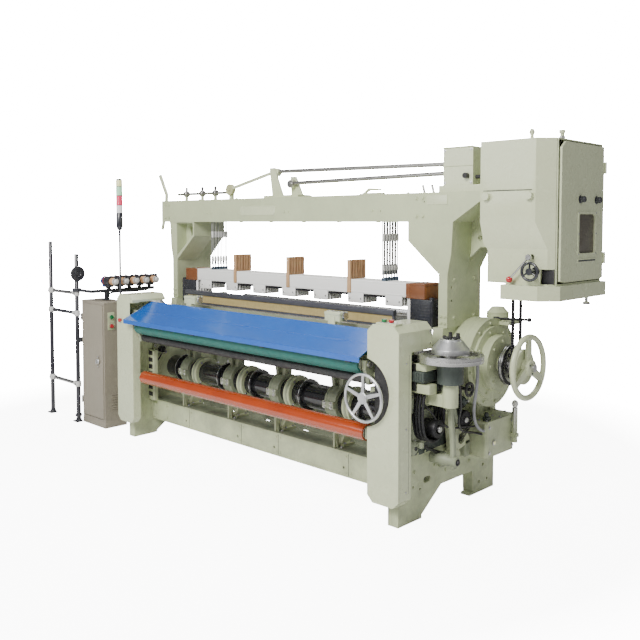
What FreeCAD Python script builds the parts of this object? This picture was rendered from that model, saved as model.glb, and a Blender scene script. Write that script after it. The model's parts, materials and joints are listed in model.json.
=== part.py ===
import FreeCAD, Part
import math
import os

# Power loom: a flexible rapier loom with an overhead dobby.
# +Z up, +X to the right of the weaver, +Y from the weaver towards the warp side.
# Places below are measured from the floor, midway between the side frames, at the front of
# their feet. On export everything moves so that the origin is under the middle of the machine.

V = FreeCAD.Vector

# ---------------------------------------------------------------- driving dimensions (mm)
frame_w = 2400.0          # over the outer faces of the side frames
frame_depth = 870.0       # front of the front feet to back of the rear feet
frame_t = 65.0            # thickness of a side frame casting
frame_front_h = 900.0     # top of the frame at the breast beam
frame_low_h = 700.0       # top of the frame between breast beam and column
column_foot_z = 950.0     # where the column stands on the frame
foot_front_l = 166.0
foot_rear_y = 660.0
arch_h = 135.0

beam_front_y = 385.0      # front face of the top beam and the columns
beam_behind = 17.0        # the beam's back past the last heald frame's pitch
beam_z0 = 1500.0
beam_z1 = 1655.0
beam_wall = 10.0
beam_left_over = 140.0    # the beam runs out past the left side frame

column_w = 55.0           # width across the weaver's view
column_out = 10.0         # how far the column stands out past the side frame
column_depth = 315.0
head_in = 202.0           # reach of the column head inward of the column
head_rear = 445.0         # depth of the head's rear gusset

cover_t = 3.0             # sheet thickness of covers
cover_w = 196.0           # width of a frame cover
cover_out = 46.0          # cover stands out past the side frame
cover_front_y = -60.0
cover_z0 = 117.0
cover_z1 = 1003.0
cover_chamfer = 34.0
cover_top_depth = 267.0   # depth of the cover's deep upper part
cover_low_depth = 100.0   # depth of the cover below it
cover_step_z = 870.0
cover_lip = 30.0
well_r = 175.0            # round recess for the take-up handwheel
well_in, well_z = 122.0, 660.0
well_wall = 4.0

breast_in = (55.0, 95.0)  # left and right ends inside the side frames
breast_front_y, breast_front_z = -112.0, 840.0
breast_fold_y, breast_fold_z = 0.0, 890.0
breast_rear_y, breast_rear_z = 100.0, 948.0
breast_sheet = 4.0
breast_beam_y0, breast_beam_y1 = 40.0, 94.0
breast_beam_z0 = 800.0

rail_y, rail_z0, rail_z1 = 150.0, 110.0, 250.0
rail_t = 12.0
rail_depth = 150.0
girder_y, girder_z0, girder_z1 = 600.0, 60.0, 330.0
girder_hole_r = 78.0
girder_hole_pitch = 370.0
girder_hole_x0 = -413.0
girder_holes = 4

run = 0.05                # running fit, on the radius
gap = 0.4                 # between parts that move past each other slowly
sheet_gap = 4.0           # around doors and panels

# sley
sley_y, sley_z = 350.0, 457.0
shaft_r = 75.0
journal_r = 30.0
ring_r, ring_t = 94.0, 16.0
ring_x = (-1010.0, -540.0, -215.0, 235.0, 700.0)
sword_x = (-900.0, -430.0, 20.0, 500.0, 900.0)
sword_hub_r, sword_hub_l = 98.0, 84.0
sword_spread = 78.0
sword_arm_w, sword_arm_d = 24.0, 56.0
post_x = (-780.0, -300.0, 140.0, 620.0)
post_r, post_l = 104.0, 50.0
sley_in = 205.0           # the sley beam ends this far inside the side frames
sley_beam_y0, sley_beam_y1 = 265.0, 362.0
sley_beam_z0, sley_beam_z1 = 872.0, 935.0
reed_y, reed_t = 300.0, 12.0
reed_baulk_h, reed_wire_h, reed_cap_h = 34.0, 48.0, 32.0
reed_wire_t = 4.0
reed_end = 14.0

# heald frames
frames = 6
heald_pitch = 24.0
heald_t = 12.0
heald_y = 404.0           # front of the first frame
heald_in = 180.0
heald_top_z, heald_bar_h = 1170.0, 80.0
heald_bottom_z, heald_low_h = 700.0, 60.0
heald_stay_w = 20.0
heald_lift = 40.0
clip_w, clip_h, clip_t = 120.0, 56.0, 7.0
clip_pitch = 280.0
clips = 7
rod_h, rod_t = 18.0, 5.0
spacer_in = 440.0         # outer spacers inside the frame ends
spacer_w, spacer_h, spacer_t = 26.0, 112.0, 8.0
strap_in = 190.0
strap_w, strap_t = 18.0, 4.0
strap_top_z = 1590.0
hook_h, hook_w, hook_t = 34.0, 26.0, 14.0
link_z, link_h = 1392.0, 42.0

# heald guides
comb_w, comb_gap = 100.0, 5.0
comb_fin_l, comb_fin_t = 28.0, 11.0
guide_box_w, guide_box_z0 = 150.0, 930.0
comb_z0 = 1087.0
guide_shaft_r = 12.0
guide_shaft_z = (985.0, 1050.0)

# rollers
take_y, take_z, take_r = -25.0, 795.0, 55.0
press_y, press_z, press_r = 0.0, 712.0, 25.0
cloth_y, cloth_z, cloth_r = 0.0, 440.0, 43.0
back_y, back_z, back_r = 905.0, 905.0, 50.0
roller_in = 135.0
roller_journal_r, roller_journal_l = 14.0, 28.0
bracket_t = 22.0

# take-up handwheel
tw_in, tw_z = 79.0, 640.0
tw_r, tw_rim, tw_front_y, tw_t = 124.0, 16.0, -108.0, 22.0
tw_shaft_r = 12.0
tw_spokes = 5
tw_hub_r, tw_hub_l = 24.0, 30.0

# main drive
main_y, main_z = 635.0, 755.0
main_shaft_r = 20.0
wheel_out, wheel_r, wheel_rim = 340.0, 172.0, 30.0
wheel_spokes = 3
pulley_out, pulley_r, pulley_t = 225.0, 104.0, 24.0
chain_out, chain_w, chain_t = 270.0, 16.0, 10.0
sprocket_r = 38.0
dobby_sprocket_z = 1290.0
drive_cover_r, drive_cover_l = 235.0, 130.0
drive_hub_r, drive_hub_l = 150.0, 60.0
case_out, case_y0, case_y1, case_z0, case_z1 = 150.0, 556.0, 832.0, 255.0, 437.0

# rapier drive, by side: right, left
rapier_out, rapier_z = 180.0, 845.0
rapier_y = {1: 172.0, -1: 330.0}
rapier_r, rapier_t, rapier_rim = 160.0, 34.0, 26.0
dome_r, dome_h = 92.0, 62.0
gearbox_r, gearbox_h = 64.0, 104.0
rapier_shaft_r = 14.0
rapier_clear = 5.0
tape_guide_h = 46.0

# sector lever of the rapier drive
lever_y, lever_z = 400.0, 300.0
lever_out, lever_t = 26.0, 26.0
lever_pin_r = 16.0

# dobby
dobby_out, dobby_w = 205.0, 375.0
dobby_face_w = 300.0
dobby_y0, dobby_y1 = 380.0, 925.0
dobby_split_y = 452.0     # rear edge of the front cover
dobby_z0, dobby_z1 = 1197.0, 1895.0
dobby_fold_z, dobby_low_z, dobby_setback = 1500.0, 1370.0, 42.0
dobby_slant_z, dobby_slant_w = 1390.0, 122.0
dobby_wall = 8.0
seam_z, seam_h, seam_d = 1655.0, 6.0, 3.0
knob_in = (39.0, 272.0)
knob_z, knob_r, knob_l = 1625.0, 19.0, 22.0
door_t, door_margin, door_gap = 12.0, 14.0, 0.6
window_y0, window_y1, window_z0, window_z1 = 651.0, 826.0, 1347.0, 1538.0
door_knob_y = (661.0, 837.0)
door_knob_z, door_knob_r, door_knob_l = 1610.0, 16.0, 26.0
tray_z0, tray_y0, tray_y1, tray_over = 1125.0, 372.0, 950.0, 20.0
dw_in, dw_z, dw_r, dw_t = 285.0, 1266.0, 48.0, 16.0
dw_y = 362.0
ball_lever_in, ball_lever_z = 263.0, 1332.0
ball_in, ball_z, ball_r = 162.0, 1222.0, 16.0

# overhead linkage
link_y = 500.0
lever_box_in, lever_box_w, lever_box_y0, lever_box_y1 = 52.0, 181.0, 430.0, 600.0
lever_plate_z, lever_box_z1 = 1690.0, 1885.0
rocker_x, band_pulley_x, clip_x = -180.0, -671.0, 560.0

# control cabinet and weft supply
cab_out, cab_w = 266.0, 314.0
cab_y0, cab_y1 = -33.0, 145.0
cab_z1 = 920.0
cab_wall = 20.0
cab_door_t, cab_door_m = 6.0, 14.0
latch_in, latch_z, latch_r = 63.0, 489.0, 17.0
duct_y0, duct_y1, duct_z0, duct_z1 = 80.0, 120.0, 300.0, 345.0
rod_r = 16.0
stand_out, stand_w = 612.0, 403.0
stand_y = -55.0
stand_foot = 34.0
stand_top = (1350.0, 1262.0)
stand_bar_z = (968.0, 818.0, 285.0)
stand_bar_r = 13.0
feeder_out, feeder_z, feeder_y0, feeder_pitch, feeders = 404.0, 1062.0, 90.0, 88.0, 5
feeder_r = 34.0
tower_out, tower_y, tower_r = 288.0, 118.0, 24.0
pole_r, pole_z1 = 8.0, 1442.0

# push buttons
button_r, button_l, button_travel = 13.0, 16.0, 4.0
button_wall = 9.0

# ---------------------------------------------------------------- derived
half = frame_w / 2
inner = half - frame_t
column_x1 = half + column_out
column_x0 = column_x1 - column_w
cover_x1 = half + cover_out
cover_x0 = cover_x1 - cover_w
beam_depth = heald_y - beam_front_y + heald_pitch * frames + beam_behind
beam_back_y = beam_front_y + beam_depth
beam_left_x = -(half + beam_left_over)
breast_x0, breast_x1 = -(inner - breast_in[0]), inner - breast_in[1]
well_x = inner - well_in
sley_half = inner - sley_in
heald_half = inner - heald_in
spacer_x = (spacer_in - heald_half, 0.0, heald_half - spacer_in)
strap_x = heald_half - strap_in
roller_half = inner - roller_in
tw_x = inner - tw_in
wheel_x = half + wheel_out
pulley_x = half + pulley_out
chain_x = half + chain_out
case_x1 = half + case_out
rapier_x = half + rapier_out
lever_x0 = half + lever_out
dobby_x0 = half + dobby_out
dobby_x1 = dobby_x0 + dobby_w
dobby_face_x1 = dobby_x0 + dobby_face_w
dobby_slant_x = dobby_x0 + dobby_slant_w
knob_x = [dobby_x0 + x for x in knob_in]
tray_x1 = dobby_x1 + tray_over
dw_x = dobby_x0 + dw_in
ball_lever_x = dobby_x0 + ball_lever_in
ball_x = dobby_x0 + ball_in
cab_x1 = -(half + cab_out)
cab_x0 = cab_x1 - cab_w
latch_x = cab_x1 - latch_in
stand_x = (-(half + stand_out + stand_w), -(half + stand_out))
feeder_x = -(half + feeder_out)
tower_x = -(half + tower_out)
heald_depth = heald_pitch * frames
rapier_top = rapier_z + rapier_t / 2 + 40      # end of the upright shaft in its bridge
machine_x0 = stand_x[0] - stand_foot
machine_x1 = dobby_x1 + door_gap + door_t + door_knob_l
machine_y0 = tw_front_y + tw_t / 2 - tw_hub_l / 2
machine_y1 = back_y + back_r
origin = V((machine_x0 + machine_x1) / 2, (machine_y0 + machine_y1) / 2, 0)


# ---------------------------------------------------------------- helpers
def box(x0, x1, y0, y1, z0, z1):
    return Part.makeBox(x1 - x0, y1 - y0, z1 - z0, V(x0, y0, z0))


AXES = {"x": V(1, 0, 0), "y": V(0, 1, 0), "z": V(0, 0, 1)}


def cyl(axis, r, start, length):
    """Cylinder of radius r from the point start, along the named axis."""
    return Part.makeCylinder(r, length, V(*start), AXES[axis])


def ring(axis, r, r_in, start, length):
    return cyl(axis, r, start, length).cut(cyl(axis, r_in, start, length))


def rod_between(a, b, r):
    a, b = V(*a), V(*b)
    return Part.makeCylinder(r, (b - a).Length, a, b - a)


def prism(axis, points, start, length):
    """Prism of a flat outline. Points are (y, z) for x, (x, z) for y and (x, y) for z."""
    place = {"x": lambda p: V(start, p[0], p[1]),
             "y": lambda p: V(p[0], start, p[1]),
             "z": lambda p: V(p[0], p[1], start)}[axis]
    wire = Part.makePolygon([place(p) for p in list(points) + [points[0]]])
    return Part.Face(wire).extrude(AXES[axis] * length)


def fuse(shapes):
    shapes = list(shapes)
    return shapes[0].multiFuse(shapes[1:]).removeSplitter() if len(shapes) > 1 else shapes[0]


def group(shapes):
    """Separate solids that share one node."""
    return Part.makeCompound([s for shape in shapes for s in shape.Solids])


def mirrored(shape):
    """The same piece on the other side of the loom."""
    return shape.mirror(V(0, 0, 0), V(1, 0, 0))


def bevel(shape, size, picked):
    edges = [e for e in shape.Edges if picked(e)]
    return shape.makeChamfer(size, edges) if edges else shape


def upright(e, x=None, y=None):
    """True for a vertical straight edge, at the given x or y where stated."""
    a, b = e.Vertexes[0].Point, e.Vertexes[-1].Point
    if abs(a.x - b.x) > 0.01 or abs(a.y - b.y) > 0.01:
        return False
    return (x is None or abs(a.x - x) < 0.01) and (y is None or abs(a.y - y) < 0.01)


def wheel(axis, centre, r, rim, hub_r, hub_l, spokes, spoke_w, bore=0.0):
    """Spoked handwheel: a round rim, a hub and tapered spokes."""
    c = V(*centre)
    a = AXES[axis]
    across = V(1, 0, 0) if axis == "y" else V(0, 1, 0)
    body = Part.makeTorus(r - rim / 2, rim / 2, c, a)
    reach = r - rim / 2
    for i in range(spokes):
        w0, w1, t = spoke_w / 2 + 2, spoke_w / 2 - 2, rim * 0.3
        pts = [c - across * w0, c + across * w0, c + across * w1 + V(0, 0, reach),
               c - across * w1 + V(0, 0, reach)]
        wire = Part.makePolygon([p - a * t for p in pts + pts[:1]])
        arm = Part.Face(wire).extrude(a * (2 * t))
        arm.rotate(c, a, 360.0 * i / spokes)
        body = body.fuse(arm)
    body = body.fuse(Part.makeCylinder(hub_r, hub_l, c - a * (hub_l / 2), a))
    return body.cut(Part.makeCylinder(bore, 4 * hub_l, c - a * hub_l * 2, a)) if bore else body


# ---------------------------------------------------------------- frame
def side_frame():
    """Right side frame: a casting with two feet, a low arch and a raised column foot."""
    top = [(0, frame_front_h), (breast_beam_y1 + 18, frame_front_h),
           (breast_beam_y1 + 60, frame_low_h), (beam_front_y - 50, frame_low_h),
           (beam_front_y - 20, column_foot_z), (frame_depth - 90, column_foot_z),
           (frame_depth, frame_low_h)]
    outline = [(0, 0)] + top + [(frame_depth, 0), (foot_rear_y, 0), (foot_rear_y - 8, arch_h)]
    body = prism("x", outline + [(foot_rear_y - 90, arch_h), (foot_front_l, 0)], inner, frame_t)
    arch = prism("x", [(foot_front_l, 0), (foot_rear_y - 300, arch_h), (foot_rear_y - 90, arch_h),
                       (foot_rear_y - 8, arch_h), (foot_rear_y, 0)], inner, frame_t)
    body = body.cut(arch)
    for y0, y1 in ((foot_front_l - 8, foot_front_l + 26), (foot_rear_y - 34, foot_rear_y + 8)):
        body = body.fuse(box(inner + 8, half, y0, y1, 0, 14))
    # journal bores of the sley and of the rollers behind it
    body = body.cut(cyl("x", journal_r + run, (inner - 1, sley_y, sley_z), frame_t + 2))
    # cored holes low on the frame
    cored = ((62, 198, 9), (120, 176, 6), (176, 154, 6), (720, 60, 8), (800, 60, 8), (760, 150, 9))
    for y, z, r in cored:
        body = body.cut(cyl("x", r, (half - 20, y, z), 21))
    oval = fuse([cyl("x", 15, (half - 30, 222, 190), 31), cyl("x", 15, (half - 30, 250, 190), 31),
                 box(half - 30, half + 1, 222, 250, 175, 205)])
    body = body.cut(oval)
    # outer rim rib that stiffens the casting at the back
    rib_z1 = main_z - drive_cover_r - 6
    rib = prism("x", [(frame_depth - 60, 230), (frame_depth, 230), (frame_depth, rib_z1),
                      (frame_depth - 60, rib_z1)], half, column_out)
    return fuse([body, rib])


def column():
    """Right column with its flared head and rear gusset."""
    head_x0 = column_x0 - head_in
    head = prism("y", [(column_x0, column_foot_z), (column_x1, column_foot_z), (column_x1, 1228),
                       (column_x1 + 22, 1336), (column_x1 + 31, beam_z0), (head_x0, beam_z0),
                       (head_x0, 1398), (column_x0, 1226)], beam_front_y, beam_depth)
    post = box(column_x0, column_x1, beam_front_y, beam_front_y + column_depth, column_foot_z, beam_z0)
    gusset_y = beam_front_y + column_depth
    gusset = prism("x", [(beam_front_y, beam_z0), (beam_front_y + head_rear, beam_z0),
                         (beam_front_y + head_rear, 1400), (gusset_y, 1250),
                         (beam_front_y, 1250)], column_x0, column_w)
    return fuse([head, post, gusset])


def column_right():
    body = column()
    for z in (1090, 1160):
        body = body.cut(cyl("x", 7, (column_x1 - 12, beam_front_y + 40, z), 13))
    return body


def column_left():
    """Left column: the head is open to the front and has a window through it."""
    body = mirrored(column())
    x0, x1 = -(column_x0 + 2), -(column_x0 - head_in + 12)
    pocket = prism("y", [(x0, 1490), (x0, 1260), (x1, 1408), (x1, 1490)], beam_front_y - 1, 92)
    window = prism("y", [(x0 + 34, 1470), (x0 + 54, 1392), (x1 - 62, 1392), (x1 - 84, 1470)],
                   beam_front_y, beam_depth + 1)
    return body.cut(pocket).cut(window)


def top_beam():
    """Hollow top beam with a tapered right end and slots for the lifting straps."""
    right = dobby_x0
    outline = [(beam_left_x, beam_z0), (column_x1 + 31, beam_z0), (right, beam_z0 + 106),
               (right, beam_z1), (beam_left_x, beam_z1)]
    body = prism("y", outline, beam_front_y, beam_depth)
    w = beam_wall
    body = body.cut(box(beam_left_x + w, column_x1 - w, beam_front_y + w, beam_back_y - w,
                        beam_z0 + w, beam_z1 - w))
    for side in (-1, 1):
        x = side * strap_x
        body = body.cut(box(x - hook_w, x + hook_w, beam_front_y + w, beam_back_y - w,
                            beam_z0 - 1, beam_z0 + w + 1))
    for x in (-790, -752, -18, 20, 700, 760):
        body = body.cut(cyl("y", 8, (x, beam_front_y - 1, 1562), w + 2))
    for x in (1060, 1160):
        body = body.cut(cyl("y", 4, (x, beam_front_y - 1, 1606), w + 2))
    return body


def cross_members():
    """Breast beam, front rail and rear girder, between the side frames."""
    slope = (breast_rear_z - breast_fold_z) / (breast_rear_y - breast_fold_y)
    top0 = breast_fold_z - breast_sheet + slope * (breast_beam_y0 - breast_fold_y)
    top1 = breast_fold_z - breast_sheet + slope * (breast_beam_y1 - breast_fold_y)
    beam = prism("x", [(breast_beam_y0, breast_beam_z0), (breast_beam_y1, breast_beam_z0),
                       (breast_beam_y1, top1), (breast_beam_y0, top0)], -inner, 2 * inner)
    web = box(-inner, inner, rail_y, rail_y + rail_t, rail_z0, rail_z1)
    flanges = [box(-inner, inner, rail_y, rail_y + rail_depth, z, z + rail_t)
               for z in (rail_z0, rail_z1 - rail_t)]
    rail = fuse([web] + flanges)
    for x in (-735, -196, 142, 703):
        rail = rail.cut(cyl("y", 7, (x, rail_y - 1, 158), rail_t + 2))
        rail = rail.cut(box(x + 34, x + 36, rail_y - 1, rail_y + 2, rail_z0, rail_z1))
    girder = fuse([box(-inner, inner, girder_y, girder_y + 15, girder_z0, girder_z1),
                   box(-inner, inner, girder_y, girder_y + 70, girder_z1 - 15, girder_z1)])
    for i in range(-1, girder_holes + 1):
        x = girder_hole_x0 + i * girder_hole_pitch
        girder = girder.cut(cyl("y", girder_hole_r, (x, girder_y - 1, girder_z0), 17))
    return group([beam, rail, girder])


def breast_cover():
    """Painted sheet over the breast beam, folded twice, with a sloped left end."""
    t = breast_sheet
    top = [(breast_front_y, breast_front_z), (breast_fold_y, breast_fold_z),
           (breast_rear_y, breast_rear_z), (breast_rear_y + t, breast_rear_z),
           (breast_rear_y + t, breast_rear_z - 40), (breast_rear_y, breast_rear_z - 40),
           (breast_rear_y, breast_rear_z - t), (breast_fold_y, breast_fold_z - t),
           (breast_front_y + t, breast_front_z - t + 1), (breast_front_y + t, breast_front_z - 26),
           (breast_front_y, breast_front_z - 26)]
    sheet = prism("x", top, breast_x0, breast_x1 - breast_x0)
    y0 = breast_front_y
    side = [(y0, breast_front_z - 26), (y0, breast_front_z), (breast_fold_y, breast_fold_z),
            (breast_rear_y + t, breast_rear_z), (breast_rear_y + t, breast_rear_z - 40),
            (breast_beam_y1 + 1, breast_front_z + 30), (breast_beam_y0 - 5, breast_front_z + 20),
            (take_y + take_r + 4, breast_front_z + 22), (y0 + 30, breast_front_z - 26)]
    end = prism("x", side, breast_x0 - t, t)
    beam = box(breast_x0 - t - 1, breast_x0, breast_beam_y0 - 1, breast_beam_y1 + 1,
               breast_beam_z0, breast_rear_z)
    return fuse([sheet, end.cut(beam)])


def cover_box():
    """Right frame cover: folded sheet, chamfered corners, a deep top and a shallower body."""
    c, t = cover_chamfer, cover_t
    x0, x1, z0, z1 = cover_x0, cover_x1, cover_z0, cover_z1

    def outline(o):
        k = c - o * 0.6
        return [(x0 + o, z0 + k), (x0 + k, z0 + o), (x1 - k, z0 + o), (x1 - o, z0 + k),
                (x1 - o, z1 - k), (x1 - k, z1 - o), (x0 + k, z1 - o), (x0 + o, z1 - k)]

    y0 = cover_front_y
    body = prism("y", outline(0), y0, cover_top_depth)
    body = body.cut(prism("y", outline(t), y0 + t, cover_top_depth))
    # the lower part is shallower on the outside
    low_y = y0 + cover_low_depth
    body = body.cut(box(half - 1, x1 + 1, low_y, y0 + cover_top_depth + 1, z0 - 1, cover_step_z))
    # the inner side stops in front of the breast beam, and above it runs back
    body = body.cut(box(x0 - 1, half, -t, y0 + cover_top_depth + 1, z0 - 1, breast_rear_z + 6))
    # return flanges that meet the side frame
    body = body.fuse(box(half, x1 - t / 2, low_y - t, low_y, z0 + c, cover_step_z))
    body = body.fuse(box(x0 + t / 2, inner + 8, -t, 0, z0 + c, frame_front_h - 6))
    return body


def cover_box_right():
    """Right cover with the round well of the take-up handwheel and a small switch panel."""
    y0 = cover_front_y
    body = cover_box()
    body = body.cut(cyl("y", well_r, (well_x, y0 - 1, well_z), 62))
    cup = ring("y", well_r + well_wall, well_r, (well_x, y0, well_z), -y0 - cover_t)
    cup = cup.common(box(cover_x0, cover_x1 - 1, y0, 0, 0, 1000))
    body = body.fuse(cup)
    panel = box(cover_x0 + 44, cover_x1 - 30, y0 + 14, y0 + 66, cover_z1, cover_z1 + 8)
    body = body.fuse(panel)
    for x in right_button_x():
        body = body.cut(cyl("z", button_r - 3 + gap, (x, y0 + 40, cover_z1 - 10), 40))
    return body


def cover_box_left():
    body = mirrored(cover_box())
    # notch for the end of the breast cover
    body = body.cut(box(breast_x0 - breast_sheet - gap, 0, breast_front_y - 1,
                        breast_rear_y + breast_sheet + 1, breast_front_z - 27, breast_rear_z + gap))
    x, z = left_button_place()
    return body.cut(cyl("y", button_r - 3 + gap, (x, cover_front_y - 1, z), 12))


def right_button_x():
    mid = (cover_x0 + cover_x1) / 2
    return mid - 24, mid + 20


def left_button_place():
    return -(cover_x0 + cover_x1) / 2 - 48, 822.0


# ---------------------------------------------------------------- sley
def sley_bearings():
    """Posts on the front rail that carry the rocker shaft between its swords."""
    parts = []
    for x in post_x:
        x0, x1 = x - post_l / 2, x + post_l / 2
        foot = box(x0 - 12, x1 + 12, rail_y + 50, rail_y + rail_depth, rail_z1, rail_z1 + 16)
        leg = prism("x", [(rail_y + 60, rail_z1 + 16), (rail_y + rail_depth, rail_z1 + 16),
                          (sley_y + 30, sley_z), (sley_y - 50, sley_z)], x0 + 10, post_l - 20)
        hub = cyl("x", post_r, (x0, sley_y, sley_z), post_l)
        post = fuse([foot, leg, hub]).cut(cyl("x", shaft_r + run, (x0 - 1, sley_y, sley_z), post_l + 2))
        parts.append(post)
    return group(parts)


def rocker_shaft():
    """Heavy rocker shaft with a journal at each end."""
    l = inner - 1
    return fuse([cyl("x", shaft_r, (-l, sley_y, sley_z), 2 * l),
                 cyl("x", journal_r, (-half + 4, sley_y, sley_z), 2 * half - 8)])


def shaft_rings():
    return group([ring("x", ring_r, shaft_r, (x, sley_y, sley_z), ring_t) for x in ring_x])


def sley_swords():
    """V-shaped swords: a split clamp on the shaft and two arms up to the sley beam."""
    parts = []
    top = sley_beam_z0
    for x in sword_x:
        hub = cyl("x", sword_hub_r, (x - sword_hub_l / 2, sley_y, sley_z), sword_hub_l)
        arms = []
        for side in (-1, 1):
            foot, tip = x + side * 14, x + side * sword_spread
            w = sword_arm_w / 2
            arms.append(prism("y", [(foot - w, sley_z), (foot + w, sley_z), (tip + w, top),
                                    (tip - w, top)], sley_y - sword_arm_d / 2 - 6, sword_arm_d))
        web = prism("y", [(x - 14, sley_z), (x + 14, sley_z), (x + sword_spread / 2, 700),
                          (x - sword_spread / 2, 700)], sley_y - 8, 14)
        pad = box(x - sword_spread - 20, x + sword_spread + 20, sley_beam_y0 + 20, sley_y + 24,
                  top - 16, top)
        lug = box(x - sword_hub_l / 2, x + sword_hub_l / 2, sley_y - sword_hub_r - 18,
                  sley_y - sword_hub_r + 26, sley_z - 20, sley_z + 20)
        sword = fuse([hub, web, pad, lug] + arms)
        sword = sword.cut(cyl("x", shaft_r, (x - sword_hub_l, sley_y, sley_z), 2 * sword_hub_l))
        parts.append(sword)
    return group(parts)


def sley_beam():
    body = prism("x", [(sley_beam_y0, sley_beam_z1), (sley_beam_y0 + 18, sley_beam_z0),
                       (sley_beam_y1, sley_beam_z0), (sley_beam_y1, sley_beam_z1)],
                 -sley_half, 2 * sley_half)
    groove = box(-sley_half - 1, sley_half + 1, reed_y, reed_y + reed_t, sley_beam_z1 - 20,
                 sley_beam_z1 + 1)
    return body.cut(groove)


reed_z0 = sley_beam_z1 - 20
wire_z0 = reed_z0 + reed_baulk_h
wire_z1 = wire_z0 + reed_wire_h


def reed():
    """Reed frame: lower baulk in the sley groove, end stays and the dark top cap."""
    y0, y1 = reed_y, reed_y + reed_t
    baulk = box(-sley_half, sley_half, y0, y1, reed_z0, wire_z0)
    cap = box(-sley_half, sley_half, y0 - 8, y1 + 8, wire_z1, wire_z1 + reed_cap_h)
    cap = cap.makeFillet(7, [e for e in cap.Edges if abs(e.Vertexes[0].Point.x - e.Vertexes[1].Point.x) > 9])
    ends = [box(x, x + reed_end, y0, y1, wire_z0, wire_z1) for x in (-sley_half, sley_half - reed_end)]
    return fuse([baulk, cap] + ends)


def reed_wires():
    """The band of dents, as one thin strip between baulk and cap."""
    y = reed_y + (reed_t - reed_wire_t) / 2
    return box(-sley_half + reed_end, sley_half - reed_end, y, y + reed_wire_t, wire_z0, wire_z1)


# ---------------------------------------------------------------- heald frames
def heald_frame(k):
    """Heald frame k: bars, stays and clips in one piece, rod, spacers, hooks and straps."""
    y = heald_y + k * heald_pitch
    y1 = y + heald_t
    z1 = heald_top_z
    bars = [box(-heald_half, heald_half, y, y1, z1 - heald_bar_h, z1),
            box(-heald_half, heald_half, y, y1, heald_bottom_z, heald_bottom_z + heald_low_h)]
    for side in (-1, 1):
        x = side * (heald_half - heald_stay_w / 2)
        bars.append(box(x - heald_stay_w / 2, x + heald_stay_w / 2, y, y1, heald_bottom_z, z1))
    clip_z0 = z1 - heald_bar_h - clip_h
    for i in range(clips):
        x = (i - (clips - 1) / 2) * clip_pitch
        bars.append(box(x - clip_w / 2, x + clip_w / 2, y, y + clip_t, clip_z0, z1 - heald_bar_h))
    parts = [fuse(bars)]
    rod_half = (clips - 1) / 2 * clip_pitch + clip_w / 2
    rod_z1 = z1 - heald_bar_h
    parts.append(box(-rod_half, rod_half, y + clip_t, y + clip_t + rod_t, rod_z1 - rod_h, rod_z1))
    for x in spacer_x:
        x0, x1 = x - spacer_w / 2, x + spacer_w / 2
        parts.append(fuse([box(x0, x1, y - spacer_t, y, z1 - heald_bar_h, z1 + spacer_h),
                           box(x0, x1, y - spacer_t, y1, z1, z1 + spacer_h)]))
    mid = y + heald_t / 2
    for side in (-1, 1):
        x = side * strap_x
        hook = box(x - hook_w / 2, x + hook_w / 2, mid - hook_t / 2, mid + hook_t / 2, z1, z1 + hook_h)
        strap = box(x - strap_t / 2, x + strap_t / 2, mid - strap_w / 2, mid + strap_w / 2,
                    z1 + hook_h, strap_top_z)
        clamp = box(x - strap_t * 1.5, x + strap_t * 1.5, mid - strap_w / 2, mid + strap_w / 2,
                    link_z, link_z + link_h)
        parts += [hook, fuse([strap, clamp])]
    return group(parts)


def heald_guides():
    """Brown guide combs on black boxes, with two stub shafts to the column, on both sides."""
    x0 = heald_half + comb_gap
    y0, y1 = heald_y - 10, heald_y + heald_depth + 4
    comb = box(x0, x0 + comb_w, y0, y1, comb_z0, heald_top_z)
    fins = []
    for k in range(frames + 1):
        y = heald_y + k * heald_pitch - (heald_pitch - heald_t) / 2
        fins.append(box(x0 - comb_fin_l, x0, y - comb_fin_t / 2, y + comb_fin_t / 2,
                        comb_z0, heald_top_z))
    comb = fuse([comb] + fins)
    case = box(x0, x0 + guide_box_w, y0, y1, guide_box_z0, comb_z0)
    case = bevel(case, 6, lambda e: upright(e))
    shafts = [cyl("x", guide_shaft_r, (x0 + guide_box_w, (y0 + y1) / 2, z),
                  column_x0 - x0 - guide_box_w) for z in guide_shaft_z]
    right = [comb, case] + shafts
    return group(right + [mirrored(s) for s in right])


def temples():
    """Cloth temples that stand up behind the breast cover."""
    parts = []
    for x in (heald_half - 310, 310 - heald_half):
        y0 = breast_beam_y1
        base = box(x - 40, x + 40, y0, y0 + 5, 850, 912)
        neck = box(x - 26, x + 26, breast_rear_y + 6 + breast_sheet, breast_rear_y + 34, 850, 990)
        foot = box(x - 40, x + 40, y0, breast_rear_y + 34, 850, 872)
        head = box(x - 58, x + 58, breast_rear_y + 14, breast_rear_y + 84, 962, 1000)
        head = head.makeFillet(10, [e for e in head.Edges if upright(e)])
        parts.append(fuse([base, foot, neck, head]))
    return group(parts)


# ---------------------------------------------------------------- rollers and their brackets
def roller(y, z, r, journal=roller_journal_r):
    l = roller_half
    j = roller_journal_l
    return fuse([cyl("x", r, (-l, y, z), 2 * l), cyl("x", journal, (-l - j, y, z), 2 * (l + j))])


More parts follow.
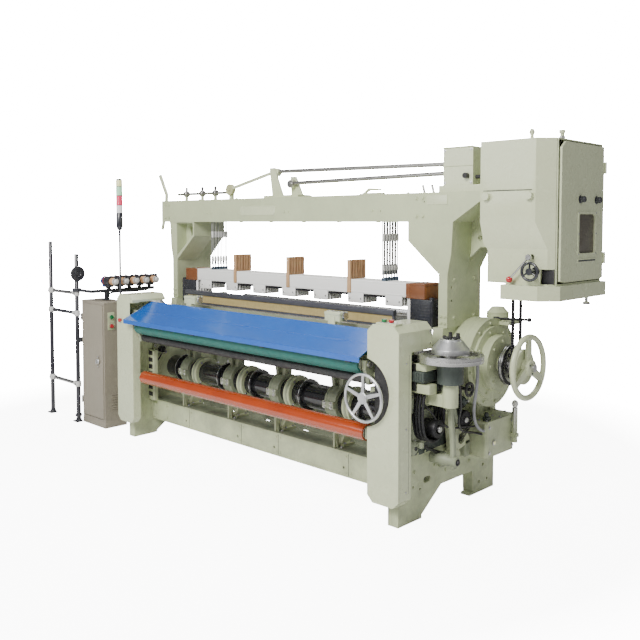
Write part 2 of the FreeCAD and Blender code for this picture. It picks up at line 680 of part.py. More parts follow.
def roller_brackets():
    """Bearing plates of the front rollers, the handwheel shaft and the back rest, per side."""
    x0 = roller_half + 8
    x1 = x0 + bracket_t
    upper = prism("x", [(take_y - 26, take_z - 26), (take_y - 26, take_z + 20),
                        (take_y + 26, take_z + 20), (34, take_z - 10), (60, 750), (60, 690),
                        (press_y - 22, press_z - 24), (press_y - 24, press_z + 10)], x0, bracket_t)
    tie = box(x1 - 2, inner, 12, 60, 692, 748)
    lower = prism("x", [(cloth_y - 26, cloth_z - 26), (cloth_y - 26, cloth_z + 26), (60, cloth_z + 26),
                        (60, cloth_z - 26)], x0, bracket_t)
    tie_low = box(x1 - 2, inner, 12, 60, cloth_z - 24, cloth_z + 24)
    bore = roller_journal_r + run
    right = fuse([upper, tie]), fuse([lower, tie_low])
    plates = []
    for shape, places in ((right[0], ((take_y, take_z), (press_y, press_z))),
                          (right[1], ((cloth_y, cloth_z),))):
        for y, z in places:
            shape = shape.cut(cyl("x", bore, (x0 - 1, y, z), bracket_t + 2))
        plates.append(shape)
    rear = box(x0, x1, back_y - 30, back_y + 34, back_z - 30, back_z + 34)
    rear_tie = box(x0, inner, frame_depth - 150, back_y + 10, back_z - 60, back_z - 28)
    rear = fuse([rear, rear_tie]).cut(cyl("x", bore, (x0 - 1, back_y, back_z), bracket_t + 2))
    plates.append(rear)
    both = plates + [mirrored(s) for s in plates]
    bearing = box(x0 + 2, inner, 10, 58, tw_z - 32, tw_z + 32)
    both.append(bearing.cut(cyl("y", tw_shaft_r + run, (tw_x, 0, tw_z), 70)))
    return group(both)


def take_up_handwheel():
    y = tw_front_y + tw_t / 2
    rim = wheel("y", (tw_x, y, tw_z), tw_r, tw_rim, tw_hub_r, tw_hub_l, tw_spokes, 18)
    shaft = cyl("y", tw_shaft_r, (tw_x, y, tw_z), 54 - y)
    collar = cyl("y", tw_shaft_r + 8, (tw_x, y + 10, tw_z), -y - 1)
    return rim.fuse(shaft).fuse(collar)


# ---------------------------------------------------------------- drive
def drive_cover():
    """Round cover of the main gears, with a stepped outer hub and a dome on top."""
    x0 = half
    drum = cyl("x", drive_cover_r, (x0, main_y, main_z), drive_cover_l)
    step = cyl("x", drive_cover_r - 40, (x0 + drive_cover_l, main_y, main_z), 14)
    hub = cyl("x", drive_hub_r, (x0 + drive_cover_l, main_y, main_z), drive_hub_l)
    neck = cyl("x", 56, (x0 + drive_cover_l, main_y, main_z), drive_hub_l + 20)
    dome = cyl("z", 60, (x0 + 61, main_y + 160, main_z + 120), 130)
    dome = dome.fuse(Part.makeCone(60, 34, 30, V(x0 + 61, main_y + 160, main_z + 250)))
    shelf = box(x0, x0 + 190, main_y + 60, main_y + 200, main_z + 196, main_z + 214)
    body = drum
    for piece in (step, hub, neck, shelf, dome):
        body = body.fuse(piece)
    body = body.cut(cyl("x", main_shaft_r + run, (x0 + 40, main_y, main_z), 260))
    return body.cut(box(x0 - 1, column_x1 + gap, 0, 1200, column_foot_z, 1600))


def gear_case():
    """Lower gear case on the side frame, with its lid, drain and filler."""
    y0, y1, z0, z1 = case_y0, case_y1, case_z0, case_z1
    case = box(half + column_out, case_x1, y0, y1, z0, z1)
    case = bevel(case, 14, lambda e: upright(e, x=case_x1))
    back = box(half, half + column_out, y0, frame_depth - 60, z0, z1)
    lid = box(half + column_out, case_x1 + 8, y0 - 8, y1 + 8, z1, z1 + 14)
    filler = cyl("z", 15, (case_x1 - 50, y0 + 64, z1 + 14), 26)
    strut = box(half, half + 62, y0 + 44, y0 + 104, z1 + 14, main_z - drive_cover_r + 20)
    sensor = fuse([cyl("z", 15, (case_x1 + 22, y1 - 32, z0 + 45), 190),
                   box(case_x1, case_x1 + 40, y1 - 47, y1 - 17, z0 + 75, z0 + 95)])
    body = fuse([case, back, lid, filler, strut, sensor])
    return body.cut(cyl("x", drive_cover_r, (half, main_y, main_z), drive_cover_l))


def drive_pulley():
    """Main shaft with its pulley disc and the chain sprocket."""
    shaft = cyl("x", main_shaft_r, (half + 60, main_y, main_z), wheel_x + 40 - half - 60)
    disc = cyl("x", pulley_r, (pulley_x, main_y, main_z), pulley_t)
    groove = ring("x", pulley_r + 1, pulley_r - 8, (pulley_x + 7, main_y, main_z), pulley_t - 14)
    hub = cyl("x", 34, (pulley_x, main_y, main_z), chain_x - chain_w / 2 - pulley_x)
    teeth = cyl("x", sprocket_r - chain_t / 2 - gap, (chain_x - 6, main_y, main_z), 12)
    return fuse([shaft, disc.cut(groove), hub, teeth])


def main_handwheel():
    body = wheel("x", (wheel_x, main_y, main_z), wheel_r, wheel_rim, 42, 46, wheel_spokes, 40,
                 main_shaft_r)
    dish = ring("x", 92, 76, (wheel_x - 34, main_y, main_z), 16)
    spacer = ring("x", 76, main_shaft_r, (wheel_x - 34, main_y, main_z), 14)
    return body.fuse(dish).fuse(spacer)


def dobby_chain():
    """Roller chain from the main shaft up into the dobby, one closed band."""
    c0, c1 = main_z, dobby_sprocket_z
    x0 = chain_x - chain_w / 2

    def stadium(r):
        return fuse([cyl("x", r, (x0, main_y, c0), chain_w), cyl("x", r, (x0, main_y, c1), chain_w),
                     box(x0, x0 + chain_w, main_y - r, main_y + r, c0, c1)])

    return stadium(sprocket_r + chain_t / 2).cut(stadium(sprocket_r - chain_t / 2))


def dobby_sprocket():
    y, z = main_y, dobby_sprocket_z
    x1 = dobby_x0 + 150
    return fuse([cyl("x", sprocket_r - chain_t / 2 - gap, (chain_x - 6, y, z), 12),
                 cyl("x", 14, (dobby_x0 + 30, y, z), x1 - dobby_x0 - 30)])


# ---------------------------------------------------------------- rapier drive
def rapier_wheel(side):
    """Rapier wheel: a flat wheel with a thick rim and six spokes, on an upright shaft."""
    c = (rapier_x, rapier_y[1], rapier_z)
    z0 = rapier_z - rapier_t / 2
    rim = ring("z", rapier_r, rapier_r - rapier_rim, (c[0], c[1], z0), rapier_t)
    web = cyl("z", rapier_r - rapier_rim + 1, (c[0], c[1], rapier_z - 5), 10)
    holes = []
    for i in range(6):
        a = math.radians(60 * i)
        holes.append(cyl("z", 26, (c[0] + 88 * math.cos(a), c[1] + 88 * math.sin(a), z0), rapier_t))
    hub = cyl("z", 34, (c[0], c[1], z0), rapier_t)
    shaft = cyl("z", rapier_shaft_r, (c[0], c[1], z0 - 70), rapier_top - z0 + 70)
    body = fuse([rim, web.cut(fuse(holes)), hub, shaft])
    if side < 0:
        body.translate(V(0, rapier_y[-1] - rapier_y[1], 0))
        body = mirrored(body)
    return body


def rapier_housings():
    """Gearbox below and domed bearing bridge above each rapier wheel, with the tape guides."""
    parts = []
    for side in (1, -1):
        x, y = rapier_x, rapier_y[side]
        below = rapier_z - rapier_t / 2 - rapier_clear
        above = rapier_z + rapier_t / 2 + rapier_clear
        drum = cyl("z", gearbox_r, (x, y, below - gearbox_h), gearbox_h)
        cap = cyl("z", 40, (x, y, below - gearbox_h - 34), 36)
        arm_z = frame_low_h - 96
        arm = box(half, x, y - 34, y + 34, arm_z, arm_z + 60)
        cheek = box(half, half + 18, y - 60, y + 60, arm_z - 30, arm_z + 84)
        link = cyl("z", 40, (x, y, arm_z), 90)
        box_low = fuse([drum, cap, arm, cheek, link])
        box_low = box_low.cut(cyl("z", rapier_shaft_r + run, (x, y, below - gearbox_h + 20), 400))
        # bridge back to the column foot, over the wheel
        dome = fuse([cyl("z", dome_r, (x, y, above), 22),
                     Part.makeCone(dome_r, dome_r - 34, dome_h - 22, V(x, y, above + 22))])
        root = main_y - drive_cover_r
        bar = prism("z", [(half, root - 60), (half, root + 8), (x + 30, y + 40), (x + 30, y - 30),
                          (x - 40, y - 30)], above, 26)
        pad = box(half, half + 16, root - 70, root + 12, above - 30, above + 26)
        bridge = fuse([dome, bar, pad])
        bridge = bridge.cut(cyl("z", rapier_shaft_r + run, (x, y, above - 1),
                                rapier_top - above + 3))
        prongs = [cyl("z", 9, (x + dx, y + 30, above + dome_h), 34) for dx in (-22, 22)]
        guide_z0 = below - 3 * tape_guide_h - 6
        guide = fuse([box(half + 6, half + 56, cover_front_y + 120, cover_front_y + 190, z, z + 44)
                      for z in (guide_z0, guide_z0 + tape_guide_h, guide_z0 + 2 * tape_guide_h)]
                     + [box(half, half + 10, 66, 124, guide_z0 - 8, below - 10)])
        pieces = [box_low, bridge] + prongs + [guide]
        if side < 0:
            pieces = [mirrored(p) for p in pieces]
        parts += pieces
    return group(parts)


def sector_lever():
    """Rocking lever of the right rapier drive: a boss, a forked arm and a toothed sector."""
    x0, t = lever_x0, lever_t
    y, z = lever_y, lever_z
    boss = cyl("x", 34, (x0 - 4, y, z), t + 12)
    arm = prism("x", [(y - 26, z), (y + 26, z), (y - 24, z + 240), (y - 66, z + 240)], x0, t)
    fork = prism("x", [(y - 78, z + 220), (y - 14, z + 220), (y - 30, z + 300), (y - 74, z + 300)],
                 x0, t)
    sector = cyl("x", 150, (x0, y, z), t).common(
        prism("x", [(y, z), (y + 170, z + 40), (y + 120, z + 170), (y + 20, z + 170)], x0, t))
    sector = sector.cut(cyl("x", 30, (x0 - 1, y + 66, z + 66), t + 2))
    body = fuse([boss, arm, fork, sector])
    body = body.cut(cyl("x", 10, (x0 - 1, y - 50, z + 268), t + 2))
    return body.cut(cyl("x", lever_pin_r + run, (x0 - 20, y, z), t + 40))


def lever_pivot():
    """Pivot stud of the sector lever, with its collar, on the side frame."""
    x0 = lever_x0
    return fuse([cyl("x", lever_pin_r, (half, lever_y, lever_z), x0 + lever_t + 20 - half),
                 cyl("x", 30, (half, lever_y, lever_z), x0 - 5 - half),
                 cyl("x", 24, (x0 + lever_t + 9, lever_y, lever_z), 11)])


def lubrication_pipe():
    """Formed pipe from the rapier bridge down to the gear case."""
    z1 = rapier_z + rapier_t / 2 + rapier_clear
    x, y = rapier_x + 24, rapier_y[1] + 196
    end_x = case_x1 - 20
    pts = [V(x, y, z1 - 50), V(x, y, z1 - 190), V(end_x + 20, case_y0 - 126, case_z1 + 83),
           V(end_x, case_y0 - 56, case_z1 - 7), V(end_x, case_y0 + 4, case_z1 - 37)]
    spline = Part.BSplineCurve()
    spline.interpolate(pts)
    path = Part.Wire(spline.toShape())
    start = Part.Wire(Part.makeCircle(8, pts[0], spline.tangent(spline.FirstParameter)[0]))
    pipe = path.makePipeShell([start], True, True)
    pipe = pipe.cut(box(half, case_x1, case_y0, case_y1, case_z0, case_z1))
    clip = box(half, rapier_x + 34, y - 10, y + 10, z1 - 62, z1 - 46)
    return group([pipe, clip.cut(cyl("z", 8, (x, y, z1 - 70), 40))])


# ---------------------------------------------------------------- dobby
def dobby_plan(o):
    """Plan outline of the dobby casing, o inside its outer face."""
    return [(dobby_x0 + o, dobby_y0 + o), (dobby_face_x1 - o * 0.6, dobby_y0 + o),
            (dobby_x1 - o, dobby_split_y + o * 0.4), (dobby_x1 - o, dobby_y1 - o),
            (dobby_x0 + o, dobby_y1 - o)]


def dobby_profile(o):
    """Side outline (y, z) of the casing: upright front, then a fold back to the lower panel."""
    y = dobby_y0 + o
    back = dobby_y0 + dobby_setback + o
    return [(y, dobby_z1 - o), (y, dobby_fold_z), (back, dobby_low_z), (back, dobby_z0 + o),
            (dobby_y1 - o, dobby_z0 + o), (dobby_y1 - o, dobby_z1 - o)]


def dobby_front_view(o):
    """Front outline (x, z) of the casing: the lower left corner slants in."""
    return [(dobby_x0 + o, dobby_z1 - o), (dobby_x0 + o, dobby_slant_z),
            (dobby_slant_x + o, dobby_z0 + o), (dobby_x1 + 50, dobby_z0 + o),
            (dobby_x1 + 50, dobby_z1 - o)]


def dobby_block(o):
    block = prism("z", dobby_plan(o), dobby_z0, dobby_z1 - dobby_z0)
    return block.common(prism("x", dobby_profile(o), dobby_x0 - 50, dobby_w + 100))


def dobby_front_cover():
    """Front cover: a shell over the front of the dobby, with its seam, knobs and hand opening."""
    split = dobby_split_y - 4
    outer = dobby_block(0).common(prism("y", dobby_front_view(0), dobby_y0 - 10, 900))
    inner_block = dobby_block(cover_t + 1).common(
        prism("y", dobby_front_view(cover_t + 1), dobby_y0 - 10, 900))
    body = outer.cut(inner_block).common(box(half, dobby_x1 + 50, dobby_y0 - 10, split, 0, 3000))
    body = body.cut(box(dobby_x0 + 40, dobby_face_x1 - 20, dobby_y0 - 1, dobby_y0 + 1.5,
                        seam_z - seam_h, seam_z))
    body = body.cut(box(dw_x + 24, dobby_x1 + 1, dobby_y0 - 1, split + 1, dobby_z0 + 8,
                        dobby_z0 + 78))
    body = body.cut(cyl("y", 20, (dw_x, dobby_y0, dw_z), 80))
    body = body.cut(cyl("y", 14, (ball_lever_x, dobby_y0, ball_lever_z), 90))
    knobs = [cyl("y", knob_r, (x, dobby_y0 - knob_l, knob_z), knob_l) for x in knob_x]
    return group([body] + knobs)


def dobby_body():
    """Dobby casing behind the cover: a box open on the right, where the door closes it."""
    y0 = dobby_split_y
    outer = box(dobby_x0, dobby_x1, y0, dobby_y1, dobby_z0, dobby_z1)
    w = dobby_wall
    hollow = box(dobby_x0 + w, dobby_x1 + 1, y0 + w, dobby_y1 - w, dobby_z0 + w, dobby_z1 - w)
    body = outer.cut(hollow)
    # passage of the chain and the bearing webs of the dobby shaft
    slot = sprocket_r + chain_t + 10
    body = body.cut(box(chain_x - 22, chain_x + 22, main_y - slot, main_y + slot, dobby_z0 - 1,
                        dobby_z0 + w + 1))
    webs = []
    for x in (dobby_x0 + w, dobby_x0 + 128):
        web = box(x, x + 24, y0 + w, dobby_y1 - w, dobby_sprocket_z - 40, dobby_sprocket_z + 60)
        webs.append(web.cut(cyl("x", 14 + run, (x - 1, main_y, dobby_sprocket_z), 26)))
    # front bearing plate of the small handwheel and the ball lever, inside the front cover
    plate = box(dobby_slant_x + 70, dobby_x1 - 40, y0 - 10, y0, dobby_z0 + 30, dobby_z0 + 190)
    plate = plate.cut(cyl("y", 9 + run, (dw_x, y0 - 20, dw_z), 40))
    plate = plate.cut(cyl("y", 7 + run, (ball_lever_x, y0 - 20, ball_lever_z), 40))
    body = body.cut(cyl("y", 10, (dw_x, y0 - 20, dw_z), 60))
    body = body.cut(cyl("y", 10, (ball_lever_x, y0 - 20, ball_lever_z), 60))
    lift = cyl("z", 9, (dobby_x0 + 201, 520, dobby_z1), 60)
    lamp = fuse([cyl("z", 10, (dobby_x1 - 18, 524, dobby_z1), 26),
                 cyl("z", 15, (dobby_x1 - 18, 524, dobby_z1 + 26), 16)])
    return fuse([body, plate] + webs + [lift, lamp])


def dobby_tray():
    """Sheet tray under the dobby, slanted on its left end, with a levelling foot."""
    z0, z1 = tray_z0, dobby_z0
    x0 = dobby_slant_x
    t = 4.0
    plan = [(x0, tray_y0), (dobby_face_x1 + 20, tray_y0), (tray_x1, dobby_split_y),
            (tray_x1, tray_y1), (x0 - 40, tray_y1), (x0 - 40, main_y + 90), (x0, main_y + 90)]
    inner_plan = [(x0 + t, tray_y0 + t), (dobby_face_x1 + 18, tray_y0 + t),
                  (tray_x1 - t, dobby_split_y + 2), (tray_x1 - t, tray_y1 - t),
                  (x0 - 40 + t, tray_y1 - t), (x0 - 40 + t, main_y + 90 + t),
                  (x0 + t, main_y + 90 + t)]
    body = prism("z", plan, z0, z1 - z0).cut(prism("z", inner_plan, z0 + t, z1 - z0 - 2 * t))
    foot = fuse([cyl("z", 8, (dobby_x1 - 20, 814, z0 - 30), 32),
                 cyl("z", 17, (dobby_x1 - 20, 814, z0 - 42), 14)])
    return fuse([body, foot])


def dobby_door():
    """Side door with its window frame, label slot and two knobs."""
    m = door_margin
    x0 = dobby_x1 + door_gap
    door = box(x0, x0 + door_t, dobby_split_y + m, dobby_y1 - 2, dobby_z0 + m, dobby_z1 - m)
    frame = box(x0 + door_t, x0 + door_t + 3, window_y0 - 14, window_y1 + 14,
                window_z0 - 14, window_z1 + 14)
    door = door.fuse(frame)
    door = door.cut(box(x0 + 4, x0 + door_t + 4, window_y0, window_y1, window_z0, window_z1))
    slot = box(x0 + door_t - 2, x0 + door_t + 1, window_y0 - 10, window_y1 + 10,
               window_z0 - 44, window_z0 - 30)
    door = door.cut(slot)
    knobs = [cyl("x", door_knob_r, (x0 + door_t, y, door_knob_z), door_knob_l) for y in door_knob_y]
    return group([door] + knobs)


def dobby_hinge():
    """Hinge barrels of the side door, on the casing."""
    x = dobby_x1 + door_gap + door_t + 5
    barrels = []
    for z in (dobby_z0 + 90, dobby_z1 - 150):
        pin = cyl("z", 6, (x, dobby_y1 + 5, z), 60)
        leaf = box(dobby_x1 - 30, x, dobby_y1, dobby_y1 + 4, z, z + 60)
        barrels.append(fuse([pin, leaf]))
    return barrels


def dobby_handwheel():
    body = wheel("y", (dw_x, dw_y, dw_z), dw_r, dw_t, 17, 22, 3, 12)
    return body.fuse(cyl("y", 9, (dw_x, dw_y, dw_z), dobby_split_y - dw_y))


def dobby_lever():
    """Thin lever with a round knob pressed on its end."""
    y = dobby_y0 + 12
    pin = cyl("y", 7, (ball_lever_x, y - 8, ball_lever_z), dobby_split_y - y + 8)
    boss = cyl("y", 15, (ball_lever_x, y - 10, ball_lever_z), 14)
    pivot, centre = V(ball_lever_x, y - 3, ball_lever_z), V(ball_x, y - 3, ball_z)
    along = (pivot - centre).normalize()
    # the knob has a flat seat for the arm at three quarters of its radius
    seat = centre + along * (0.75 * ball_r)
    knob = Part.makeSphere(ball_r, centre, along, -90, math.degrees(math.asin(0.75)), 360)
    arm = rod_between(tuple(seat), tuple(pivot - along * 8), 5)
    return group([fuse([pin, boss, arm]), knob])


def dobby_bracket():
    """Plates that carry the dobby from the right column head and the beam end."""
    y0, y1 = beam_back_y, beam_back_y + 16
    mid_x = column_x1 + 80
    plate = prism("y", [(column_x1 + 4, 1640), (column_x1 + 4, 1300), (mid_x, 1368),
                        (dobby_x0, 1368), (dobby_x0, 1640)], y0, y1 - y0)
    plate = plate.cut(cyl("y", 14, (mid_x, y0 - 1, 1416), 20))
    shelf = box(column_x1, dobby_x0, y0, y0 + 240, beam_z0, beam_z0 + 16)
    rib = prism("x", [(y1, beam_z0), (y0 + 230, beam_z0), (y1, 1380)], column_x1 + 60, 16)
    cheek = box(column_x1, column_x1 + 16, y0, y0 + 240, 1420, beam_z0)
    return fuse([plate, shelf, rib, cheek])


def overhead_linkage():
    """Lever box by the dobby, the two draw rods, their rocker bracket and the left cross shaft."""
    z1 = beam_z1
    y = link_y
    x0, x1 = half - lever_box_in, half - lever_box_in + lever_box_w
    y0, y1 = lever_box_y0, lever_box_y1
    plate = box(x0 - 24, dobby_x0, y0 - 6, y1 - 40, z1, lever_plate_z)
    body = box(x0, x1, y0, y1, lever_plate_z, lever_box_z1)
    knob = cyl("y", 14, (x1 - 34, y0 - 26, lever_plate_z + 46), 26)
    side_knob = cyl("x", 10, (x1, y0 + 30, lever_plate_z + 40), 30)
    parts = [plate, body, knob, side_knob]
    # rocker bracket and the two draw rods to the lever box
    rx = rocker_x
    base = box(rx - 90, rx + 230, y - 60, y + 50, z1, z1 + 16)
    front_cheek = prism("y", [(rx - 40, z1 + 16), (rx + 60, z1 + 16), (rx - 20, 1850), (rx - 66, 1850)],
                        y - 30, 12)
    rear_cheek = prism("y", [(rx + 90, z1 + 16), (rx + 190, z1 + 16), (rx + 130, 1790), (rx + 80, 1790)],
                       y + 18, 12)
    high_pin = cyl("y", 26, (rx - 24, y - 18, 1822), 36)
    low_pin = cyl("y", 26, (rx + 112, y - 18, 1742), 36)
    parts.append(fuse([base, front_cheek, rear_cheek, high_pin, low_pin]))
    parts.append(rod_between((rx + 4, y, 1826), (x0, y, 1806), 12))
    parts.append(rod_between((rx + 139, y, 1746), (x0, y, 1758), 12))
    # band to the pulley, and the cross shaft on its stands
    px = band_pulley_x
    band = prism("y", [(rx - 50, 1812), (rx - 50, 1832), (px + 30, 1742), (px + 30, 1722)], y - 18, 14)
    pulley = cyl("y", 36, (px, y - 20, 1722), 26)
    stand = box(px - 14, px + 14, y - 10, y + 14, z1, 1700)
    parts += [band, fuse([pulley, stand])]
    shaft_x0 = beam_left_x + 50
    shaft = [cyl("x", 9, (shaft_x0, y, 1704), px - 20 - shaft_x0)]
    for x in (shaft_x0 + 90, shaft_x0 + 280, shaft_x0 + 430):
        shaft.append(cyl("x", 20, (x, y, 1704), 26))
        shaft.append(box(x + 4, x + 22, y - 8, y + 8, z1, 1700))
    parts.append(fuse(shaft))
    # selvedge lever at the left end of the beam
    bx = beam_left_x
    blade = prism("y", [(bx - 100, 1846), (bx - 74, 1856), (bx + 10, 1706), (bx, 1600), (bx - 52, 1440),
                        (bx - 72, 1446), (bx - 22, 1610), (bx - 16, 1700)], beam_front_y + 40, 14)
    foot = box(bx - 22, bx, beam_front_y + 30, beam_front_y + 64, 1590, 1650)
    beam_end = box(bx, bx + 50, beam_front_y, beam_back_y, beam_z0, z1)
    parts.append(fuse([blade, foot]).cut(beam_end))
    for x in (x0 - 138, x0 - 78):
        prong = rod_between((x, y - 40, z1 - 10), (x - 16, y - 40, z1 + 44), 7)
        parts.append(prong.cut(box(x - 40, x + 40, y - 80, y, z1 - 40, z1)))
    cx = clip_x
    parts.append(fuse([box(cx, cx + 140, y - 40, y, z1, z1 + 12),
                       prism("y", [(cx, z1 + 12), (cx + 40, z1 + 40), (cx + 130, z1 + 34),
                                   (cx + 130, z1 + 24), (cx + 50, z1 + 26), (cx + 20, z1 + 12)],
                             y - 30, 12)]))
    return group(parts)


# ---------------------------------------------------------------- cabinet, stand, feeders, tower
def cabinet_case():
    """Control cabinet on a plinth, open at the front, with a cable duct to the loom."""
    w = cab_wall
    body = box(cab_x0, cab_x1, cab_y0, cab_y1, 0, cab_z1)
    body = body.cut(box(cab_x0 + w, cab_x1 - w, cab_y0 - 1, cab_y1 - w, 60, cab_z1 - w - 4))
    for z in cab_button_z():
        body = body.cut(cyl("x", button_r - 3 + gap, (cab_x1 - w - 1, cab_button_y(), z), w + 2))
    duct = box(cab_x1, -half, duct_y0, duct_y1, duct_z0, duct_z1)
    return group([body, duct])


def cab_button_y():
    return 24.0


def cab_button_z():
    return 812.0, 746.0


def cabinet_door():
    m, t = cab_door_m, cab_door_t
    y1 = cab_y0 - door_gap
    door = box(cab_x0 + m, cab_x1 - m, y1 - t, y1, 66, cab_z1 - 22)
    return door.cut(cyl("y", latch_r - 5 + gap, (latch_x, y1 - 20, latch_z), 40))


def cabinet_hinge():
    """Two hinge pins on the left edge of the cabinet front."""
    pins = []
    for z in (150, cab_z1 - 150):
        pin = cyl("z", 5, (cab_x0 + 5, cab_y0 - cab_door_t - 2, z), 50)
        leaf = box(cab_x0, cab_x0 + 9, cab_y0 - cab_door_t - 2, cab_y0, z, z + 50)
        pins.append(fuse([pin, leaf]))
    return pins


def cabinet_latch():
    y1 = cab_y0 - cab_door_t - door_gap
    return fuse([cyl("y", latch_r, (latch_x, y1 - 8, latch_z), 8),
                 box(latch_x - 4, latch_x + 4, y1 - 18, y1 - 8, latch_z - 15, latch_z + 15),
                 cyl("y", latch_r - 5, (latch_x, y1 - 8, latch_z), 18),
                 box(latch_x - 6, latch_x + 30, cab_y0 + 2, cab_y0 + 6, latch_z - 6, latch_z + 6),
                 cyl("y", 6, (latch_x, y1 - 8, latch_z), 8 + cab_door_t + door_gap + 6)])


def yarn_stand():
    """Two upright rods with three cross members, feet, clamps and the round yarn guide."""
    y = stand_y
    parts = []
    for x, top in zip(stand_x, stand_top):
        parts.append(cyl("z", rod_r, (x, y, 6), top - 6))
        parts.append(box(x - stand_foot, x + stand_foot, y - 32, y + 20, 0, 6))
    for z in stand_bar_z:
        parts.append(cyl("x", stand_bar_r, (stand_x[0] + rod_r - 4, y, z), stand_w - 2 * rod_r + 8))
        for x in stand_x:
            parts.append(cyl("z", rod_r + 7, (x, y, z - 20), 40))
    rods = fuse(parts)
    disc = cyl("x", 58, (stand_x[1] + rod_r - 6, y, 1115), 16)
    tie = box(stand_x[1] + rod_r - 3, cab_x0, y + 4, y + 12, 600, 640)
    tie = fuse([tie, box(cab_x0 - 6, cab_x0, y + 4, cab_y0 + 40, 600, 640)])
    return group([fuse([rods, disc, tie])])


def weft_feeders():
    """Feeder rail on the yarn stand with its weft feeders."""
    y0 = feeder_y0 - 30
    y1 = feeder_y0 + feeder_pitch * (feeders - 1) + 40
    rail_z = feeder_z - feeder_r - 24
    rail = box(feeder_x - 12, feeder_x + 12, stand_y, y1, rail_z - 24, rail_z)
    arm = box(stand_x[1] + 2, feeder_x + 12, stand_y - 10, stand_y + 14, rail_z - 24, rail_z)
    arm = arm.cut(cyl("z", rod_r, (stand_x[1], stand_y, 0), stand_top[0]))
    arm = arm.cut(cyl("z", rod_r + 7, (stand_x[1], stand_y, stand_bar_z[0] - 20), 40))
    leg = box(feeder_x - 14, feeder_x + 14, 60, 90, cab_z1, rail_z - 24)
    parts = [fuse([rail, arm, leg])]
    for i in range(feeders):
        y = feeder_y0 + i * feeder_pitch
        foot = box(feeder_x - 10, feeder_x + 10, y - 12, y + 12, rail_z, feeder_z)
        body = cyl("x", feeder_r, (feeder_x - 70, y, feeder_z), 110)
        drum = cyl("x", feeder_r - 8, (feeder_x + 40, y, feeder_z), 62)
        flange = cyl("x", feeder_r + 4, (feeder_x + 40, y, feeder_z), 8)
        nose = cyl("x", feeder_r - 20, (feeder_x + 102, y, feeder_z), 16)
        parts.append(fuse([foot, body, drum, flange, nose]))
    return group(parts)


def signal_tower():
    """Signal tower on the cabinet: pole, dark base and four lenses with a cap."""
    x, y = tower_x, tower_y
    z = pole_z1
    parts = [fuse([cyl("z", pole_r, (x, y, cab_z1), z - cab_z1), cyl("z", 22, (x, y, cab_z1), 8)])]
    base = fuse([Part.makeCone(14, tower_r, 24, V(x, y, z)), cyl("z", tower_r, (x, y, z + 24), 100)])
    parts.append(base)
    z += 124
    for h in (56, 70, 66, 48):
        parts.append(cyl("z", tower_r, (x, y, z), h))
        z += h
    parts.append(cyl("z", tower_r - 4, (x, y, z), 10))
    return group(parts)


# ---------------------------------------------------------------- push buttons
def push_button(axis, face, wall_in):
    """Button head outside a wall and its stem through it. Face is the centre on the wall."""
    a = {"x": V(1, 0, 0), "-y": V(0, -1, 0), "z": V(0, 0, 1)}[axis]
    f = V(*face)
    head = Part.makeCylinder(button_r, button_l - button_travel, f + a * (button_travel + 0.5), a)
    stem = Part.makeCylinder(button_r - 3, wall_in + button_travel + 4, f - a * wall_in, a)
    return fuse([head, stem])


def build():
    mid_button_y = cover_front_y + 40
    cab_y = cab_button_y()
    left_x, left_z = left_button_place()
    rx = right_button_x()
    nodes = {
        "side_frame_right": side_frame(), "side_frame_left": mirrored(side_frame()),
        "cross_members": cross_members(), "breast_cover": breast_cover(),
        "top_beam": top_beam(), "column_right": column_right(), "column_left": column_left(),
        "dobby_bracket": dobby_bracket(), "cover_box_right": cover_box_right(),
        "cover_box_left": cover_box_left(), "heald_guides": heald_guides(), "temples": temples(),
        "roller_brackets": roller_brackets(), "sley_bearings": sley_bearings(),
        "rocker_shaft": rocker_shaft(), "shaft_rings": shaft_rings(), "sley_swords": sley_swords(),
        "sley_beam": sley_beam(), "reed": reed(), "reed_wires": reed_wires(),
        "take_up_roller": roller(take_y, take_z, take_r),
        "press_roller": roller(press_y, press_z, press_r),
        "cloth_roller": roller(cloth_y, cloth_z, cloth_r),
        "back_rest": roller(back_y, back_z, back_r),
        "take_up_handwheel": take_up_handwheel(),
        "main_handwheel": main_handwheel(), "drive_pulley": drive_pulley(),
        "dobby_chain": dobby_chain(), "dobby_sprocket": dobby_sprocket(),
        "drive_cover": drive_cover(), "gear_case": group([gear_case(), lever_pivot()]),
        "rapier_wheel_right": rapier_wheel(1), "rapier_wheel_left": rapier_wheel(-1),
        "rapier_housings": rapier_housings(), "sector_lever": sector_lever(),
        "lubrication_pipe": lubrication_pipe(),
        "dobby_body": group([dobby_body()] + dobby_hinge()), "dobby_front_cover": dobby_front_cover(),
        "dobby_door": dobby_door(), "dobby_tray": dobby_tray(),
        "dobby_handwheel": dobby_handwheel(), "dobby_lever": dobby_lever(),
        "overhead_linkage": overhead_linkage(),
        "cabinet_case": group([cabinet_case()] + cabinet_hinge()),
        "cabinet_door": cabinet_door(), "cabinet_latch": cabinet_latch(),
        "yarn_stand": yarn_stand(), "weft_feeders": weft_feeders(), "signal_tower": signal_tower(),
        "cabinet_start_button": push_button("x", (cab_x1, cab_y, cab_button_z()[0]), cab_wall),
        "cabinet_stop_button": push_button("x", (cab_x1, cab_y, cab_button_z()[1]), cab_wall),
        "left_stop_button": push_button("-y", (left_x, cover_front_y, left_z), cover_t),
        "right_start_button": push_button("z", (rx[0], mid_button_y, cover_z1 + 8), cover_t + 8),
        "right_stop_button": push_button("z", (rx[1], mid_button_y, cover_z1 + 8), cover_t + 8),
    }
    for k in range(frames):
        nodes["heald_frame_%d" % (k + 1)] = heald_frame(k)
    return nodes


os.makedirs("parts", exist_ok=True)
for name, shape in build().items():
    shape.translate(-origin)
    shape.exportStep("parts/%s.step" % name)
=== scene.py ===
import json
import math

